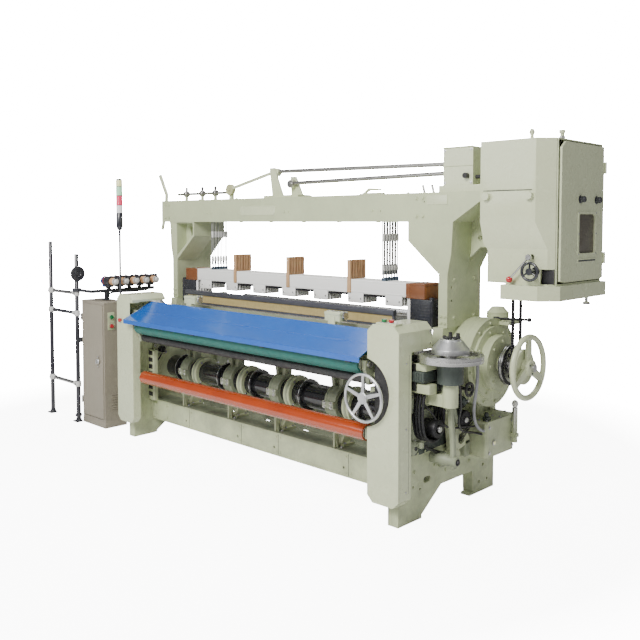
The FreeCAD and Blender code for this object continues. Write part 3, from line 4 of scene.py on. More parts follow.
import bmesh
import bpy
import numpy as np
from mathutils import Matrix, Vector

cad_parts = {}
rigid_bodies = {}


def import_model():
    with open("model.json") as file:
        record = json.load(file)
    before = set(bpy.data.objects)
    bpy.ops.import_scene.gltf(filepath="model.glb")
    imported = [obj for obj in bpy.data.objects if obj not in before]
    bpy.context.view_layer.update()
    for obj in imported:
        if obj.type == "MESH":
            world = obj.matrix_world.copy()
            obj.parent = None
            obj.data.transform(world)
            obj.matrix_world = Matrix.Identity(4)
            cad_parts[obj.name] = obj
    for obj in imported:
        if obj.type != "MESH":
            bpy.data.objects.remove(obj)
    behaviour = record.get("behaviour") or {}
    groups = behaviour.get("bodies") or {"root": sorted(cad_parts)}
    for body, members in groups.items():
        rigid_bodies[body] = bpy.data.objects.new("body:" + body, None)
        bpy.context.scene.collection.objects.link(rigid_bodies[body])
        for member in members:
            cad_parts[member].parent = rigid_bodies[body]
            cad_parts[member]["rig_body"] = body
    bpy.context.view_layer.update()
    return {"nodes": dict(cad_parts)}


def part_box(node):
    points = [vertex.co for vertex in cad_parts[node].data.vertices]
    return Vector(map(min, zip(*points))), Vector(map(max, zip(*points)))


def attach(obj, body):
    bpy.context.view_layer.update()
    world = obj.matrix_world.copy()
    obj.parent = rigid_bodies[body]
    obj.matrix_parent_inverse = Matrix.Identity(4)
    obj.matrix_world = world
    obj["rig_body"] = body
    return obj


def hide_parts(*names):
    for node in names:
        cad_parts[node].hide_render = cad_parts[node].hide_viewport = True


# Looks of the flexible rapier power loom.
# Lengths below are millimetres in the loom maker's datum: X from midway between the side frames
# to the weaver's right, Y from the front of the front feet to the warp side, Z up from the floor.

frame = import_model()
nodes = frame["nodes"]

right_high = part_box("side_frame_right")[1]
left_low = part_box("side_frame_left")[0]
DATUM = np.array([(left_low.x + right_high.x) / 2, left_low.y, 0.0])
TAU = 2 * math.pi


# ---------------------------------------------------------------- surfaces
def outward(verts, faces):
    """Turns every face the other way if the closed skin's signed volume is negative."""
    corners = np.array([(f[0], f[i], f[i + 1]) for f in faces for i in range(1, len(f) - 1)])
    a, b, c = (verts[corners[:, k]] for k in range(3))
    if np.einsum("ij,ij->", a, np.cross(b, c)) < 0:
        faces = [f[::-1] for f in faces]
    return verts, faces


def skin(points, loop=False):
    """Closed skin over a grid of points: rows along the piece, columns around it.

    Neighbouring points make a four-sided face. The first and last rows are closed by one face
    each, or joined to each other when the piece is a loop."""
    n, m = points.shape[:2]
    ids = np.arange(n * m).reshape(n, m)
    here, there = (ids, np.roll(ids, -1, 0)) if loop else (ids[:-1], ids[1:])
    quads = np.stack([here, np.roll(here, -1, 1), np.roll(there, -1, 1), there], -1)
    faces = quads.reshape(-1, 4).tolist()
    if not loop:
        faces += [ids[0, ::-1].tolist(), ids[-1].tolist()]
    return outward(points.reshape(-1, 3), faces)


def placed(flat, height, axis):
    """Points of a flat outline at a height along an axis.

    The outline is (y, z) for x, (x, z) for y and (x, y) for z."""
    order = {"x": (2, 0, 1), "y": (0, 2, 1), "z": (0, 1, 2)}[axis]
    height = np.broadcast_to(height, flat.shape[:-1])
    return np.concatenate([flat, height[..., None]], -1)[..., order]


def rounded(outline, radius, steps=4):
    """Outline whose corners are quadratic curves.

    Each curve leaves its side one radius before the corner p and is (1-t)^2 s + 2t(1-t) p + t^2 e."""
    p = np.asarray(outline, float)

    def toward(a, b):
        d = b - a
        length = np.linalg.norm(d, axis=1, keepdims=True) + 1e-9
        return a + d * np.minimum(radius, 0.46 * length) / length

    s, e = toward(p, np.roll(p, 1, 0)), toward(p, np.roll(p, -1, 0))
    t = np.linspace(0, 1, steps + 1)[None, :, None]
    return ((1 - t) ** 2 * s[:, None] + 2 * t * (1 - t) * p[:, None] + t * t * e[:, None]).reshape(-1, 2)


def drawn_in(flat, inset):
    """Outline moved inwards by inset, each point along the mean of its two side normals."""
    side = np.roll(flat, -1, 0) - flat
    side /= np.linalg.norm(side, axis=1, keepdims=True) + 1e-9
    mean = side + np.roll(side, 1, 0)
    mean /= np.linalg.norm(mean, axis=1, keepdims=True) + 1e-9
    lean = np.clip(np.einsum("ij,ij->i", mean, side), 0.5, 1)
    area = np.sum(flat[:, 0] * np.roll(flat[:, 1], -1) - flat[:, 1] * np.roll(flat[:, 0], -1))
    normal = np.stack([-mean[:, 1], mean[:, 0]], -1) * np.sign(area)
    return flat + normal * (inset / lean)[:, None]


def plate(outline, low, high, axis, edge=2.0, corner=5.0, steps=3):
    """Flat casting: an outline carried along an axis, with quarter-round edges at both faces.

    At angle a of the edge the outline is drawn in by edge (1 - sin a) at height edge (1 - cos a)."""
    flat = rounded(outline, corner, steps)
    edge = min(edge, (high - low) / 2.01)
    rows = []
    for a in np.radians([0, 35, 65, 90]):
        rows.append(placed(drawn_in(flat, edge * (1 - math.sin(a))), low + edge * (1 - math.cos(a)), axis))
    for a in np.radians([90, 65, 35, 0]):
        rows.append(placed(drawn_in(flat, edge * (1 - math.sin(a))), high - edge * (1 - math.cos(a)), axis))
    return skin(np.array(rows))


def block(x0, x1, y0, y1, z0, z1, edge=2.0, corner=4.0, axis="y"):
    """Box-shaped casting with rounded edges, carried along the given axis."""
    spans = {"x": ((y0, y1), (z0, z1), x0, x1), "y": ((x0, x1), (z0, z1), y0, y1),
             "z": ((x0, x1), (y0, y1), z0, z1)}[axis]
    (a0, a1), (b0, b1), low, high = spans
    return plate([(a0, b0), (a1, b0), (a1, b1), (a0, b1)], low, high, axis, edge, corner)


def turned(profile, centre, axis, sides=40, wobble=None):
    """Turned piece: radius and height pairs carried round an axis.

    The point at angle t is (r cos t, r sin t, h), and wobble(t, h) may scale r."""
    r, h = np.asarray(profile, float).T
    t = np.linspace(0, TAU, sides, endpoint=False)
    reach = np.maximum(r, 0.05)[:, None] * (1 if wobble is None else wobble(t[None, :], h[:, None]))
    flat = np.stack([reach * np.cos(t), reach * np.sin(t)], -1)
    points = placed(flat, h[:, None], axis)
    return skin(points + np.asarray(centre, float))


def ring(section, centre, axis, sides=48, wobble=None):
    """Closed ring: a closed section of radius and height pairs carried round an axis."""
    r, h = np.asarray(section, float).T
    t = np.linspace(0, TAU, sides, endpoint=False)
    reach = r[:, None] * (1 if wobble is None else wobble(t[None, :], h[:, None]))
    flat = np.stack([reach * np.cos(t), reach * np.sin(t)], -1)
    points = placed(flat, h[:, None], axis).transpose(1, 0, 2)
    return skin(points + np.asarray(centre, float), loop=True)


def round_section(r, tube, flatness=1.0, n=14):
    """Circle of radius tube about the radius r, flattened along the axis."""
    t = np.linspace(0, TAU, n, endpoint=False)
    return np.stack([r + tube * np.cos(t), flatness * tube * np.sin(t)], -1)


def slab_section(r0, r1, h0, h1, edge=2.0):
    """Rectangle between two radii and two heights with its corners cut by the edge."""
    return [(r0 + edge, h0), (r1 - edge, h0), (r1 - edge * 0.3, h0 + edge * 0.3), (r1, h0 + edge),
            (r1, h1 - edge), (r1 - edge * 0.3, h1 - edge * 0.3), (r1 - edge, h1), (r0 + edge, h1),
            (r0, h1 - edge), (r0, h0 + edge)]


def smooth_route(points, samples):
    """Catmull-Rom curve through the points.

    Between p1 and p2 it is (2 p1 + (p2-p0) t + (2p0-5p1+4p2-p3) t^2 + (3p1-p0-3p2+p3) t^3) / 2."""
    p = np.asarray(points, float)
    q = np.concatenate([[2 * p[0] - p[1]], p, [2 * p[-1] - p[-2]]])
    s = np.linspace(0, len(p) - 1 - 1e-6, samples)
    i = s.astype(int)
    t = (s - i)[:, None]
    a, b, c, d = q[i], q[i + 1], q[i + 2], q[i + 3]
    return (2 * b + (c - a) * t + (2 * a - 5 * b + 4 * c - d) * t ** 2 + (3 * b - a - 3 * c + d) * t ** 3) / 2


def pipe(points, radius, sides=12, samples=None, loop=False, straight=False):
    """Round bar along a smooth route.

    The circle stands on the tangent T, spanned by N = T x P and B = T x N, where P is the normal
    of the plane that fits the route best. The radius may change along the route."""
    p = np.asarray(points, float)
    route = p if straight or loop else smooth_route(p, samples or 8 * len(p))
    flat = np.linalg.svd(route - route.mean(0))[2][-1]
    tangent = np.roll(route, -1, 0) - np.roll(route, 1, 0) if loop else np.gradient(route, axis=0)
    tangent /= np.linalg.norm(tangent, axis=1, keepdims=True) + 1e-12
    normal = np.cross(tangent, flat)
    normal /= np.linalg.norm(normal, axis=1, keepdims=True) + 1e-12
    other = np.cross(tangent, normal)
    t = np.linspace(0, TAU, sides, endpoint=False)[None, :, None]
    r = np.broadcast_to(radius, len(route))[:, None, None]
    return skin(route[:, None] + r * (normal[:, None] * np.cos(t) + other[:, None] * np.sin(t)), loop)


def coil(start, end, radius, wire, turns, sides=8):
    """Helical spring between two points: the route goes round the axis as it goes along it."""
    a, b = np.asarray(start, float), np.asarray(end, float)
    along = (b - a) / np.linalg.norm(b - a)
    u = np.cross(along, [0.3, 0.5, 0.8]); u /= np.linalg.norm(u)
    v = np.cross(along, u)
    s = np.linspace(0, 1, int(turns * 14))
    t = TAU * turns * s
    route = a + (b - a) * s[:, None] + radius * (u * np.cos(t)[:, None] + v * np.sin(t)[:, None])
    tangent = np.gradient(route, axis=0)
    tangent /= np.linalg.norm(tangent, axis=1, keepdims=True)
    out = u * np.cos(t)[:, None] + v * np.sin(t)[:, None]
    other = np.cross(tangent, out)
    w = np.linspace(0, TAU, sides, endpoint=False)[None, :, None]
    return skin(route[:, None] + wire * (out[:, None] * np.cos(w) + other[:, None] * np.sin(w)))


def holed_plate(outer, inner, low, high, axis, edge=2.0, corner=5.0, n=64):
    """Flat piece with one hole: section loops carried round the hole.

    Both outlines become radius against angle about the hole's middle, so each must be seen whole
    from there."""
    inner = rounded(inner, corner)
    outer = rounded(outer, corner)
    middle = inner.mean(0)
    angles = np.linspace(-math.pi, math.pi, n, endpoint=False)

    def reach(outline):
        dense = np.concatenate([outline + (np.roll(outline, -1, 0) - outline) * f for f in np.linspace(0,
            0.95, 20)])
        d = dense - middle
        a, r = np.arctan2(d[:, 1], d[:, 0]), np.hypot(d[:, 0], d[:, 1])
        o = np.argsort(a)
        return np.interp(angles, a[o], r[o], period=TAU)

    big, small = reach(outer), reach(inner)
    spoke = np.stack([np.cos(angles), np.sin(angles)], -1)
    loops = []
    for r, h in ((small + edge, low), (big - edge, low), (big, low + edge), (big, high - edge),
                 (big - edge, high), (small + edge, high), (small, high - edge), (small, low + edge)):
        loops.append(placed(middle + spoke * r[:, None], h, axis))
    return skin(np.array(loops).transpose(1, 0, 2), loop=True)


def copies(shape, places):
    """The same shape at each place."""
    verts, faces = shape
    places = np.asarray(places, float).reshape(-1, 3)
    every = (verts[None] + places[:, None]).reshape(-1, 3)
    return every, [[i + k * len(verts) for i in f] for k in range(len(places)) for f in faces]


def hex_screws(places, axis, r=9.0, tall=7.0, out=1):
    """Hexagon screws on washers: a washer step, then a six-sided head with a rounded crown.

    The head's radius at angle t is r cos 30 / cos((t mod 60) - 30)."""
    t = np.linspace(0, TAU, 12, endpoint=False)
    six = math.cos(math.pi / 6) / np.cos(np.mod(t, TAU / 6) - math.pi / 6)
    rows = [(1.55, 0, 0), (1.55, 0.22, 0), (1.0, 0.22, 1), (1.0, 0.86, 1), (0.86, 1.0, 0), (0.4, 1.04, 0)]
    grid = []
    for reach, h, sided in rows:
        radius = r * reach * (six if sided else 1)
        grid.append(placed(np.stack([radius * np.cos(t), radius * np.sin(t)], -1), out * tall * h, axis))
    return copies(skin(np.array(grid)), places)


def cap_screws(places, axis, r=8.0, tall=9.0, out=1):
    """Socket screws: a short cylinder with a rounded edge and a sunk socket."""
    rows = [(r, 0), (r, 0.8 * tall), (0.85 * r, tall), (0.5 * r, tall), (0.45 * r, 0.5 * tall)]
    shape = turned([(a, out * h) for a, h in rows], (0, 0, 0), axis, 10)
    return copies(shape, places)


def gear(centre, axis, r, tooth, teeth, low, high):
    """Spur gear: a turned disc whose radius rises and falls with each tooth.

    The radius is r + tooth clip(2.2 cos(teeth t), -1, 1) / 2."""
    sides = teeth * 6

    def wave(t, h):
        return 1 + tooth / (2 * r) * np.clip(2.2 * np.cos(teeth * t), -1, 1)

    return turned([(r - 3, low), (r, low + 3), (r, high - 3), (r - 3, high)], centre, axis, sides, wave)


def mirrored(shape):
    """The same shape on the other side of the loom, with its faces turned back outwards."""
    verts, faces = shape
    return verts * np.array([-1.0, 1, 1]), [f[::-1] for f in faces]


def both_sides(shapes):
    return list(shapes) + [mirrored(s) for s in shapes]


def moved(shape, dx=0.0, dy=0.0, dz=0.0):
    return shape[0] + np.array([dx, dy, dz], float), shape[1]


def tilted(shape, axis, degrees, about):
    """Shape turned by an angle about a line through a point along X, Y or Z."""
    a = math.radians(degrees)
    c, s = math.cos(a), math.sin(a)
    turn = {"x": [[1, 0, 0], [0, c, -s], [0, s, c]], "y": [[c, 0, s], [0, 1, 0], [-s, 0, c]],
            "z": [[c, -s, 0], [s, c, 0], [0, 0, 1]]}[axis]
    about = np.asarray(about, float)
    return (shape[0] - about) @ np.array(turn).T + about, shape[1]


def ball(centre, r, sides=18):
    """Ball as a turned half circle."""
    a = np.linspace(-math.pi / 2 + 0.08, math.pi / 2 - 0.08, 12)
    return turned(np.stack([r * np.cos(a), r * np.sin(a)], -1), centre, "z", sides)


# ---------------------------------------------------------------- pieces
def piece(name, shapes, finish, body="loom_frame", instead_of=(), sharp=38.0):
    """One mesh from closed skins, in metres in the row frame, riding on its body."""
    verts, faces, first = [], [], 0
    for v, f in shapes:
        verts.append(v)
        faces += [[i + first for i in g] for g in f]
        first += len(v)
    verts = np.concatenate(verts) / 1000 + DATUM
    mesh = bpy.data.meshes.new(name)
    mesh.from_pydata(verts.tolist(), [], faces)
    mesh.polygons.foreach_set("use_smooth", np.ones(len(mesh.polygons), bool))
    mesh.set_sharp_from_angle(angle=math.radians(sharp))
    mesh.materials.append(finish)
    mesh.update()
    thing = bpy.data.objects.new(name, mesh)
    bpy.context.scene.collection.objects.link(thing)
    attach(thing, body)
    if instead_of:
        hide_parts(*instead_of)
    return thing


def softened(node, finish, width=3.0, segments=2, angle=32.0):
    """A CAD casting with its doubled points merged and its sharp edges rounded by a bevel."""
    mesh = nodes[node].data.copy()
    mesh.name = node + "_casting"
    thing = bpy.data.objects.new(node + "_casting", mesh)
    bpy.context.scene.collection.objects.link(thing)
    work = bmesh.new()
    work.from_mesh(mesh)
    bmesh.ops.remove_doubles(work, verts=work.verts, dist=2e-5)
    bmesh.ops.dissolve_limit(work, angle_limit=math.radians(0.6), verts=work.verts, edges=work.edges)
    bmesh.ops.dissolve_degenerate(work, dist=2e-5, edges=work.edges)
    work.to_mesh(mesh)
    work.free()
    mesh.materials.clear()
    mesh.materials.append(finish)
    mesh.polygons.foreach_set("use_smooth", np.ones(len(mesh.polygons), bool))
    mesh.set_sharp_from_angle(angle=math.radians(angle))
    edge = thing.modifiers.new("rounded_edges", "BEVEL")
    edge.width = width / 1000
    edge.segments = segments
    edge.limit_method = "ANGLE"
    edge.angle_limit = math.radians(angle)
    edge.harden_normals = True
    edge.miter_outer = "MITER_ARC"
    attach(thing, nodes[node]["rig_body"])
    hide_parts(node)
    return thing


# ---------------------------------------------------------------- finishes
def add(tree, kind, **given):
    """New node: a setting is set on the node or its socket, and a socket is linked."""
    new = tree.nodes.new(kind)
    for key, value in given.items():
        if hasattr(new, key) and key[0].islower():
            setattr(new, key, value)
            continue
        numbered = key[0] == "i" and key[1:].isdigit()
        place = new.inputs[int(key[1:]) if numbered else key.replace("_", " ")]
        if isinstance(value, bpy.types.NodeSocket):
            tree.links.new(value, place)
        else:
            place.default_value = value
    return new


def blend_of(tree, factor, a, b, how="MIX"):
    """Colour mix of a and b."""
    return add(tree, "ShaderNodeMix", data_type="RGBA", blend_type=how, i0=factor, i6=a, i7=b).outputs[2]


def sums(tree, how, a, b=0.5, clamp=False):
    return add(tree, "ShaderNodeMath", operation=how, i0=a, i1=b, use_clamp=clamp).outputs[0]


def shared(name, takes, gives):
    """Empty shared effect with named sockets."""
    tree = bpy.data.node_groups.new(name, "ShaderNodeTree")
    for label, value in takes.items():
        kind = "NodeSocketColor" if isinstance(value, tuple) else "NodeSocketFloat"
        tree.interface.new_socket(label, in_out="INPUT", socket_type=kind).default_value = value
    for label, kind in gives.items():
        tree.interface.new_socket(label, in_out="OUTPUT", socket_type=kind)
    return tree, tree.nodes.new("NodeGroupInput").outputs, tree.nodes.new("NodeGroupOutput").inputs


COLOR, FLOAT = "NodeSocketColor", "NodeSocketFloat"


def paint_skin_group():
    """Sprayed enamel: slow tone changes, orange-peel height and uneven gloss."""
    tree, take, give = shared("paint_skin", {"Paint": (0.6, 0.6, 0.5, 1), "Shade": (0.5, 0.5, 0.4, 1),
                                             "Tone Size": 3.0, "Peel Size": 220.0, "Gloss": 0.35,
                                             "Gloss Change": 0.12},
                              {"Color": COLOR, "Roughness": FLOAT, "Height": FLOAT})
    spot = tree.nodes.new("ShaderNodeTexCoord").outputs["Object"]
    tone = add(tree, "ShaderNodeTexNoise", Vector=spot, Scale=take["Tone Size"], Detail=4.0,
               Roughness=0.55).outputs["Fac"]
    tone = add(tree, "ShaderNodeMapRange", Value=tone, From_Min=0.35, From_Max=0.68).outputs[0]
    fine = add(tree, "ShaderNodeTexNoise", Vector=spot, Scale=38.0, Detail=6.0, Roughness=0.7).outputs["Fac"]
    mask = sums(tree, "MULTIPLY", tone, fine)
    tree.links.new(blend_of(tree, mask, take["Paint"], take["Shade"]), give["Color"])
    gloss = add(tree, "ShaderNodeTexNoise", Vector=spot, Scale=9.0, Detail=5.0, Roughness=0.6).outputs["Fac"]
    gloss = sums(tree, "MULTIPLY", sums(tree, "SUBTRACT", gloss, 0.5), take["Gloss Change"])
    tree.links.new(sums(tree, "ADD", gloss, take["Gloss"], True), give["Roughness"])
    peel = add(tree, "ShaderNodeTexNoise", Vector=spot, Scale=take["Peel Size"], Detail=2.0).outputs["Fac"]
    cast = add(tree, "ShaderNodeTexNoise", Vector=spot, Scale=34.0, Detail=3.0).outputs["Fac"]
    tree.links.new(sums(tree, "ADD", peel, cast), give["Height"])
    return tree


def grime_and_low_shade_group():
    """Oil and lint patches and speckles, with painted shade: the darkening grows towards the bottom of the
    machine.
    """
    tree, take, give = shared("grime_and_low_shade", {"Color": (0.6, 0.6, 0.5, 1), "Grime": (0.12, 0.12, 0.09, 1),
                                             "Amount": 0.3, "Reach": 0.55, "Patch Size": 7.0},
                              {"Color": COLOR, "Mask": FLOAT})
    spot = tree.nodes.new("ShaderNodeTexCoord").outputs["Object"]
    height = add(tree, "ShaderNodeSeparateXYZ", Vector=spot).outputs["Z"]
    # Darker towards the bottom of the machine: this height fade is painted shade.
    low = sums(tree, "SUBTRACT", 1.0, sums(tree, "DIVIDE", height, take["Reach"]), True)
    patch = add(tree, "ShaderNodeTexNoise", Vector=spot, Scale=take["Patch Size"], Detail=8.0,
                Roughness=0.68).outputs["Fac"]
    patch = add(tree, "ShaderNodeMapRange", Value=patch, From_Min=0.42, From_Max=0.75).outputs[0]
    low = sums(tree, "ADD", sums(tree, "MULTIPLY", low, 0.8), 0.2)
    mask = sums(tree, "MULTIPLY", sums(tree, "MULTIPLY", patch, low), take["Amount"], True)
    tree.links.new(blend_of(tree, mask, take["Color"], take["Grime"]), give["Color"])
    tree.links.new(mask, give["Mask"])
    return tree


def drawn_lines_group():
    """Turning, drawing or brushing marks: noise stretched along one direction."""
    tree, take, give = shared("drawn_lines", {"Across X": 1.0, "Across Y": 60.0, "Across Z": 60.0,
                                              "Fineness": 8.0},
                              {"Line": FLOAT, "Patch": FLOAT})
    spot = tree.nodes.new("ShaderNodeTexCoord").outputs["Object"]
    stretch = add(tree, "ShaderNodeCombineXYZ", X=take["Across X"], Y=take["Across Y"],
                  Z=take["Across Z"]).outputs[0]
    spread = add(tree, "ShaderNodeVectorMath", operation="MULTIPLY", i0=spot, i1=stretch).outputs[0]
    line = add(tree, "ShaderNodeTexNoise", Vector=spread, Scale=take["Fineness"], Detail=5.0,
               Roughness=0.6).outputs["Fac"]
    patch = add(tree, "ShaderNodeTexNoise", Vector=spot, Scale=6.0, Detail=4.0).outputs["Fac"]
    tree.links.new(line, give["Line"])
    tree.links.new(patch, give["Patch"])
    return tree


PAINT_SKIN = paint_skin_group()
GRIME_AND_LOW_SHADE = grime_and_low_shade_group()
DRAWN_LINES = drawn_lines_group()


def finish(name, **shader):
    """Material with its shader settings; gives its tree, its shader and the shared effect maker."""
    material = bpy.data.materials.new(name)
    material.use_nodes = True
    tree = material.node_tree
    surface = tree.nodes["Principled BSDF"]
    for key, value in shader.items():
        surface.inputs[key.replace("_", " ")].default_value = value

    def effect(group, **given):
        return add(tree, "ShaderNodeGroup", node_tree=group, **given).outputs

    def uses(**links):
        for key, value in links.items():
            tree.links.new(value, surface.inputs[key.replace("_", " ")])

    def bump(height, distance, strength=0.5):
        uses(Normal=add(tree, "ShaderNodeBump", Height=height, Distance=distance,
                        Strength=strength).outputs[0])

    return material, tree, effect, uses, bump


def enamel(name, paint, shade, gloss=0.34, peel=240.0, grime=0.3, reach=0.6, coat=0.0, bump_mm=0.25, tone=3.0,
           grime_and_shade_tone=(0.13, 0.14, 0.10, 1)):
    """Machine enamel over castings or sheet."""
    material, tree, effect, uses, bump = finish(name, Coat_Weight=coat, Coat_Roughness=0.12, IOR=1.5)
    skin_of = effect(PAINT_SKIN, Paint=(*paint, 1), Shade=(*shade, 1), Tone_Size=tone, Peel_Size=peel,
                     Gloss=gloss)
    dirt_and_shade = effect(GRIME_AND_LOW_SHADE, Color=skin_of["Color"], Grime=grime_and_shade_tone, Amount=grime, Reach=reach)
    rough = sums(tree, "ADD", skin_of["Roughness"], sums(tree, "MULTIPLY", dirt_and_shade["Mask"], 0.3), True)
    uses(Base_Color=dirt_and_shade["Color"], Roughness=rough)
    bump(skin_of["Height"], bump_mm / 1000, 0.35)
    return material


def metal(name, tone, dark, rough=0.3, across=(1.0, 60.0, 60.0), fineness=8.0, metallic=1.0, grime=0.25,
          coat=0.0):
    """Bare or plated metal with drawing marks."""
    material, tree, effect, uses, bump = finish(name, Metallic=metallic, Coat_Weight=coat,
                                                Coat_Roughness=0.08)
    lines = effect(DRAWN_LINES, Across_X=across[0], Across_Y=across[1], Across_Z=across[2], Fineness=fineness)
    colour = blend_of(tree, sums(tree, "MULTIPLY", lines["Line"], lines["Patch"]), (*tone, 1), (*dark, 1))
    dirt_and_shade = effect(GRIME_AND_LOW_SHADE, Color=colour, Grime=(0.03, 0.028, 0.022, 1), Amount=grime, Reach=1.2,
                  Patch_Size=26.0)
    span = sums(tree, "ADD", sums(tree, "MULTIPLY", lines["Line"], 0.22), rough - 0.1, True)
    uses(Base_Color=dirt_and_shade["Color"], Roughness=sums(tree, "ADD", span,
                                                  sums(tree, "MULTIPLY", dirt_and_shade["Mask"], 0.4), True))
    bump(lines["Line"], 0.00008, 0.5)
    return material


def plastic(name, tone, dark, rough=0.3, coat=0.0, grain=400.0, bump_mm=0.05, **shader):
    """Moulded plastic or rubber with a fine grain."""
    material, _, effect, uses, bump = finish(name, Coat_Weight=coat, **shader)
    skin_of = effect(PAINT_SKIN, Paint=(*tone, 1), Shade=(*dark, 1), Tone_Size=22.0, Peel_Size=grain,
                     Gloss=rough, Gloss_Change=0.15)
    dirt_and_shade = effect(GRIME_AND_LOW_SHADE, Color=skin_of["Color"], Grime=(0.3, 0.29, 0.26, 1), Amount=0.12, Reach=2.5,
                  Patch_Size=30.0)
    uses(Base_Color=dirt_and_shade["Color"], Roughness=skin_of["Roughness"])
    bump(skin_of["Height"], bump_mm / 1000, 0.4)
    return material


def striped(name, light, dark, axis, pitch, rough=0.45, metallic=0.0, sharp=0.5, height=0.0002, vary=0.5,
            coat=0.0):
    """Close ribs, wires or laminations across an axis.

    The stripe is 0.5 + 0.5 sin(2 pi s / pitch) pushed towards its ends, where s is the distance
    along the axis, and a stretched noise makes neighbouring stripes differ."""
    material, tree, effect, uses, bump = finish(name, Metallic=metallic, Coat_Weight=coat)
    spot = tree.nodes.new("ShaderNodeTexCoord").outputs["Object"]
    part = add(tree, "ShaderNodeSeparateXYZ", Vector=spot).outputs["XYZ".index(axis.upper())]
    wave = sums(tree, "SINE", sums(tree, "MULTIPLY", part, TAU / pitch))
    wave = add(tree, "ShaderNodeMapRange", Value=wave, From_Min=-sharp, From_Max=sharp).outputs[0]
    across = {"x": (1.0, 0.05, 0.05), "y": (0.05, 1.0, 0.05), "z": (0.05, 0.05, 1.0)}[axis]
    spread = add(tree, "ShaderNodeVectorMath", operation="MULTIPLY", i0=spot, i1=across).outputs[0]
    differ = add(tree, "ShaderNodeTexNoise", Vector=spread, Scale=0.7 / pitch, Detail=3.0).outputs["Fac"]
    grain = add(tree, "ShaderNodeTexNoise", Vector=spot, Scale=120.0, Detail=6.0).outputs["Fac"]
    shade = sums(tree, "ADD", sums(tree, "MULTIPLY", wave, 1 - vary), sums(tree, "MULTIPLY", differ, vary),
                 True)
    colour = blend_of(tree, shade, (*dark, 1), (*light, 1))
    dirt_and_shade = effect(GRIME_AND_LOW_SHADE, Color=colour, Grime=(*(c * 0.3 for c in dark), 1), Amount=0.25, Reach=2.0,
                  Patch_Size=24.0)
    uses(Base_Color=dirt_and_shade["Color"], Roughness=sums(tree, "ADD", sums(tree, "MULTIPLY", grain, 0.2),
                                                  rough - 0.1, True))
    bump(sums(tree, "ADD", wave, sums(tree, "MULTIPLY", grain, 0.3)), height, 0.6)
    return material


def lens(name, tone, glow):
    """Coloured lamp lens with moulded rings and a faint inner light."""
    material, tree, _, uses, bump = finish(name, Roughness=0.16, Coat_Weight=0.6, Emission_Strength=glow,
                                           IOR=1.46)
    spot = tree.nodes.new("ShaderNodeTexCoord").outputs["Object"]
    height = add(tree, "ShaderNodeSeparateXYZ", Vector=spot).outputs["Z"]
    wave = sums(tree, "SINE", sums(tree, "MULTIPLY", height, TAU / 0.006))
    cloud = add(tree, "ShaderNodeTexNoise", Vector=spot, Scale=30.0, Detail=3.0).outputs["Fac"]
    colour = blend_of(tree, sums(tree, "MULTIPLY", cloud, 0.6), (*tone, 1),
                      (*(min(1, c * 1.5 + 0.08) for c in tone), 1))
    uses(Base_Color=colour, Emission_Color=colour)
    bump(wave, 0.0006, 0.5)
    return material


CREAM = (0.545, 0.600, 0.380)
CASTING = enamel("casting_enamel", CREAM, (0.43, 0.475, 0.305), gloss=0.36, grime=0.55, reach=0.75,
                 bump_mm=0.6)
SHEET = enamel("sheet_enamel", (0.630, 0.680, 0.460), (0.57, 0.615, 0.40), gloss=0.27, peel=160.0,
               grime=0.16, coat=0.35)
# Darker copy of the cream enamel with heavy darkening: painted shade for parts that sit in shadow.
SHADED = enamel("painted_shade_enamel", (0.36, 0.40, 0.275), (0.23, 0.26, 0.18), gloss=0.45, grime=0.85,
                reach=1.3, bump_mm=0.7)
BLUE = enamel("breast_cover_blue", (0.006, 0.115, 0.520), (0.004, 0.08, 0.42), gloss=0.20, peel=130.0,
              grime=0.05, coat=0.7,
              grime_and_shade_tone=(0.25, 0.35, 0.5, 1))
TAUPE = enamel("cabinet_powder", (0.315, 0.285, 0.225), (0.265, 0.24, 0.19), gloss=0.50, peel=520.0,
               grime=0.22, bump_mm=0.5,
               grime_and_shade_tone=(0.42, 0.40, 0.36, 1))
BARS = enamel("heald_white", (0.98, 0.98, 0.96), (0.93, 0.93, 0.91), gloss=0.30, peel=90.0, grime=0.08,
              coat=0.2)
TEAL = plastic("take_up_covering", (0.008, 0.150, 0.125), (0.006, 0.09, 0.08), rough=0.55, grain=900.0,
               bump_mm=0.5)
ORANGE = enamel("cloth_roller_lacquer", (0.43, 0.052, 0.003), (0.28, 0.028, 0.002), gloss=0.24, peel=60.0,
                grime=0.1, coat=0.9)
GLOSS_BLACK = enamel("shaft_black", (0.014, 0.014, 0.017), (0.03, 0.03, 0.034), gloss=0.18, peel=80.0,
                     grime=0.3, coat=0.7,
                     grime_and_shade_tone=(0.10, 0.10, 0.11, 1))
IRON = metal("oiled_iron", (0.055, 0.055, 0.06), (0.02, 0.02, 0.022), rough=0.42, metallic=0.75)
RUBBER = plastic("black_rubber", (0.018, 0.018, 0.02), (0.03, 0.03, 0.032), rough=0.55, grain=500.0,
                 bump_mm=0.2)
GREEN_BLACK = enamel("dark_gear_paint", (0.075, 0.095, 0.085), (0.035, 0.045, 0.042), gloss=0.42, grime=0.7,
                     reach=2.0,
                     grime_and_shade_tone=(0.012, 0.014, 0.012, 1))
STEEL = metal("bright_steel", (0.66, 0.66, 0.65), (0.42, 0.42, 0.43), rough=0.26, across=(60.0, 4.0, 4.0))
BAR_STEEL = metal("drawn_bar", (0.50, 0.49, 0.46), (0.30, 0.30, 0.29), rough=0.34, across=(2.0, 90.0, 90.0))
WHEEL_METAL = metal("cast_aluminium", (0.74, 0.75, 0.76), (0.55, 0.56, 0.58), rough=0.36,
                    across=(14.0, 14.0, 14.0))
REED_CAP = metal("reed_cap", (0.145, 0.15, 0.175), (0.05, 0.05, 0.065), rough=0.40, across=(1.5, 80.0, 80.0),
                 metallic=0.6)
REED_WIRE = striped("reed_wires", (0.86, 0.70, 0.34), (0.36, 0.26, 0.09), "x", 0.0024, rough=0.42,
                    metallic=0.35, vary=0.35)
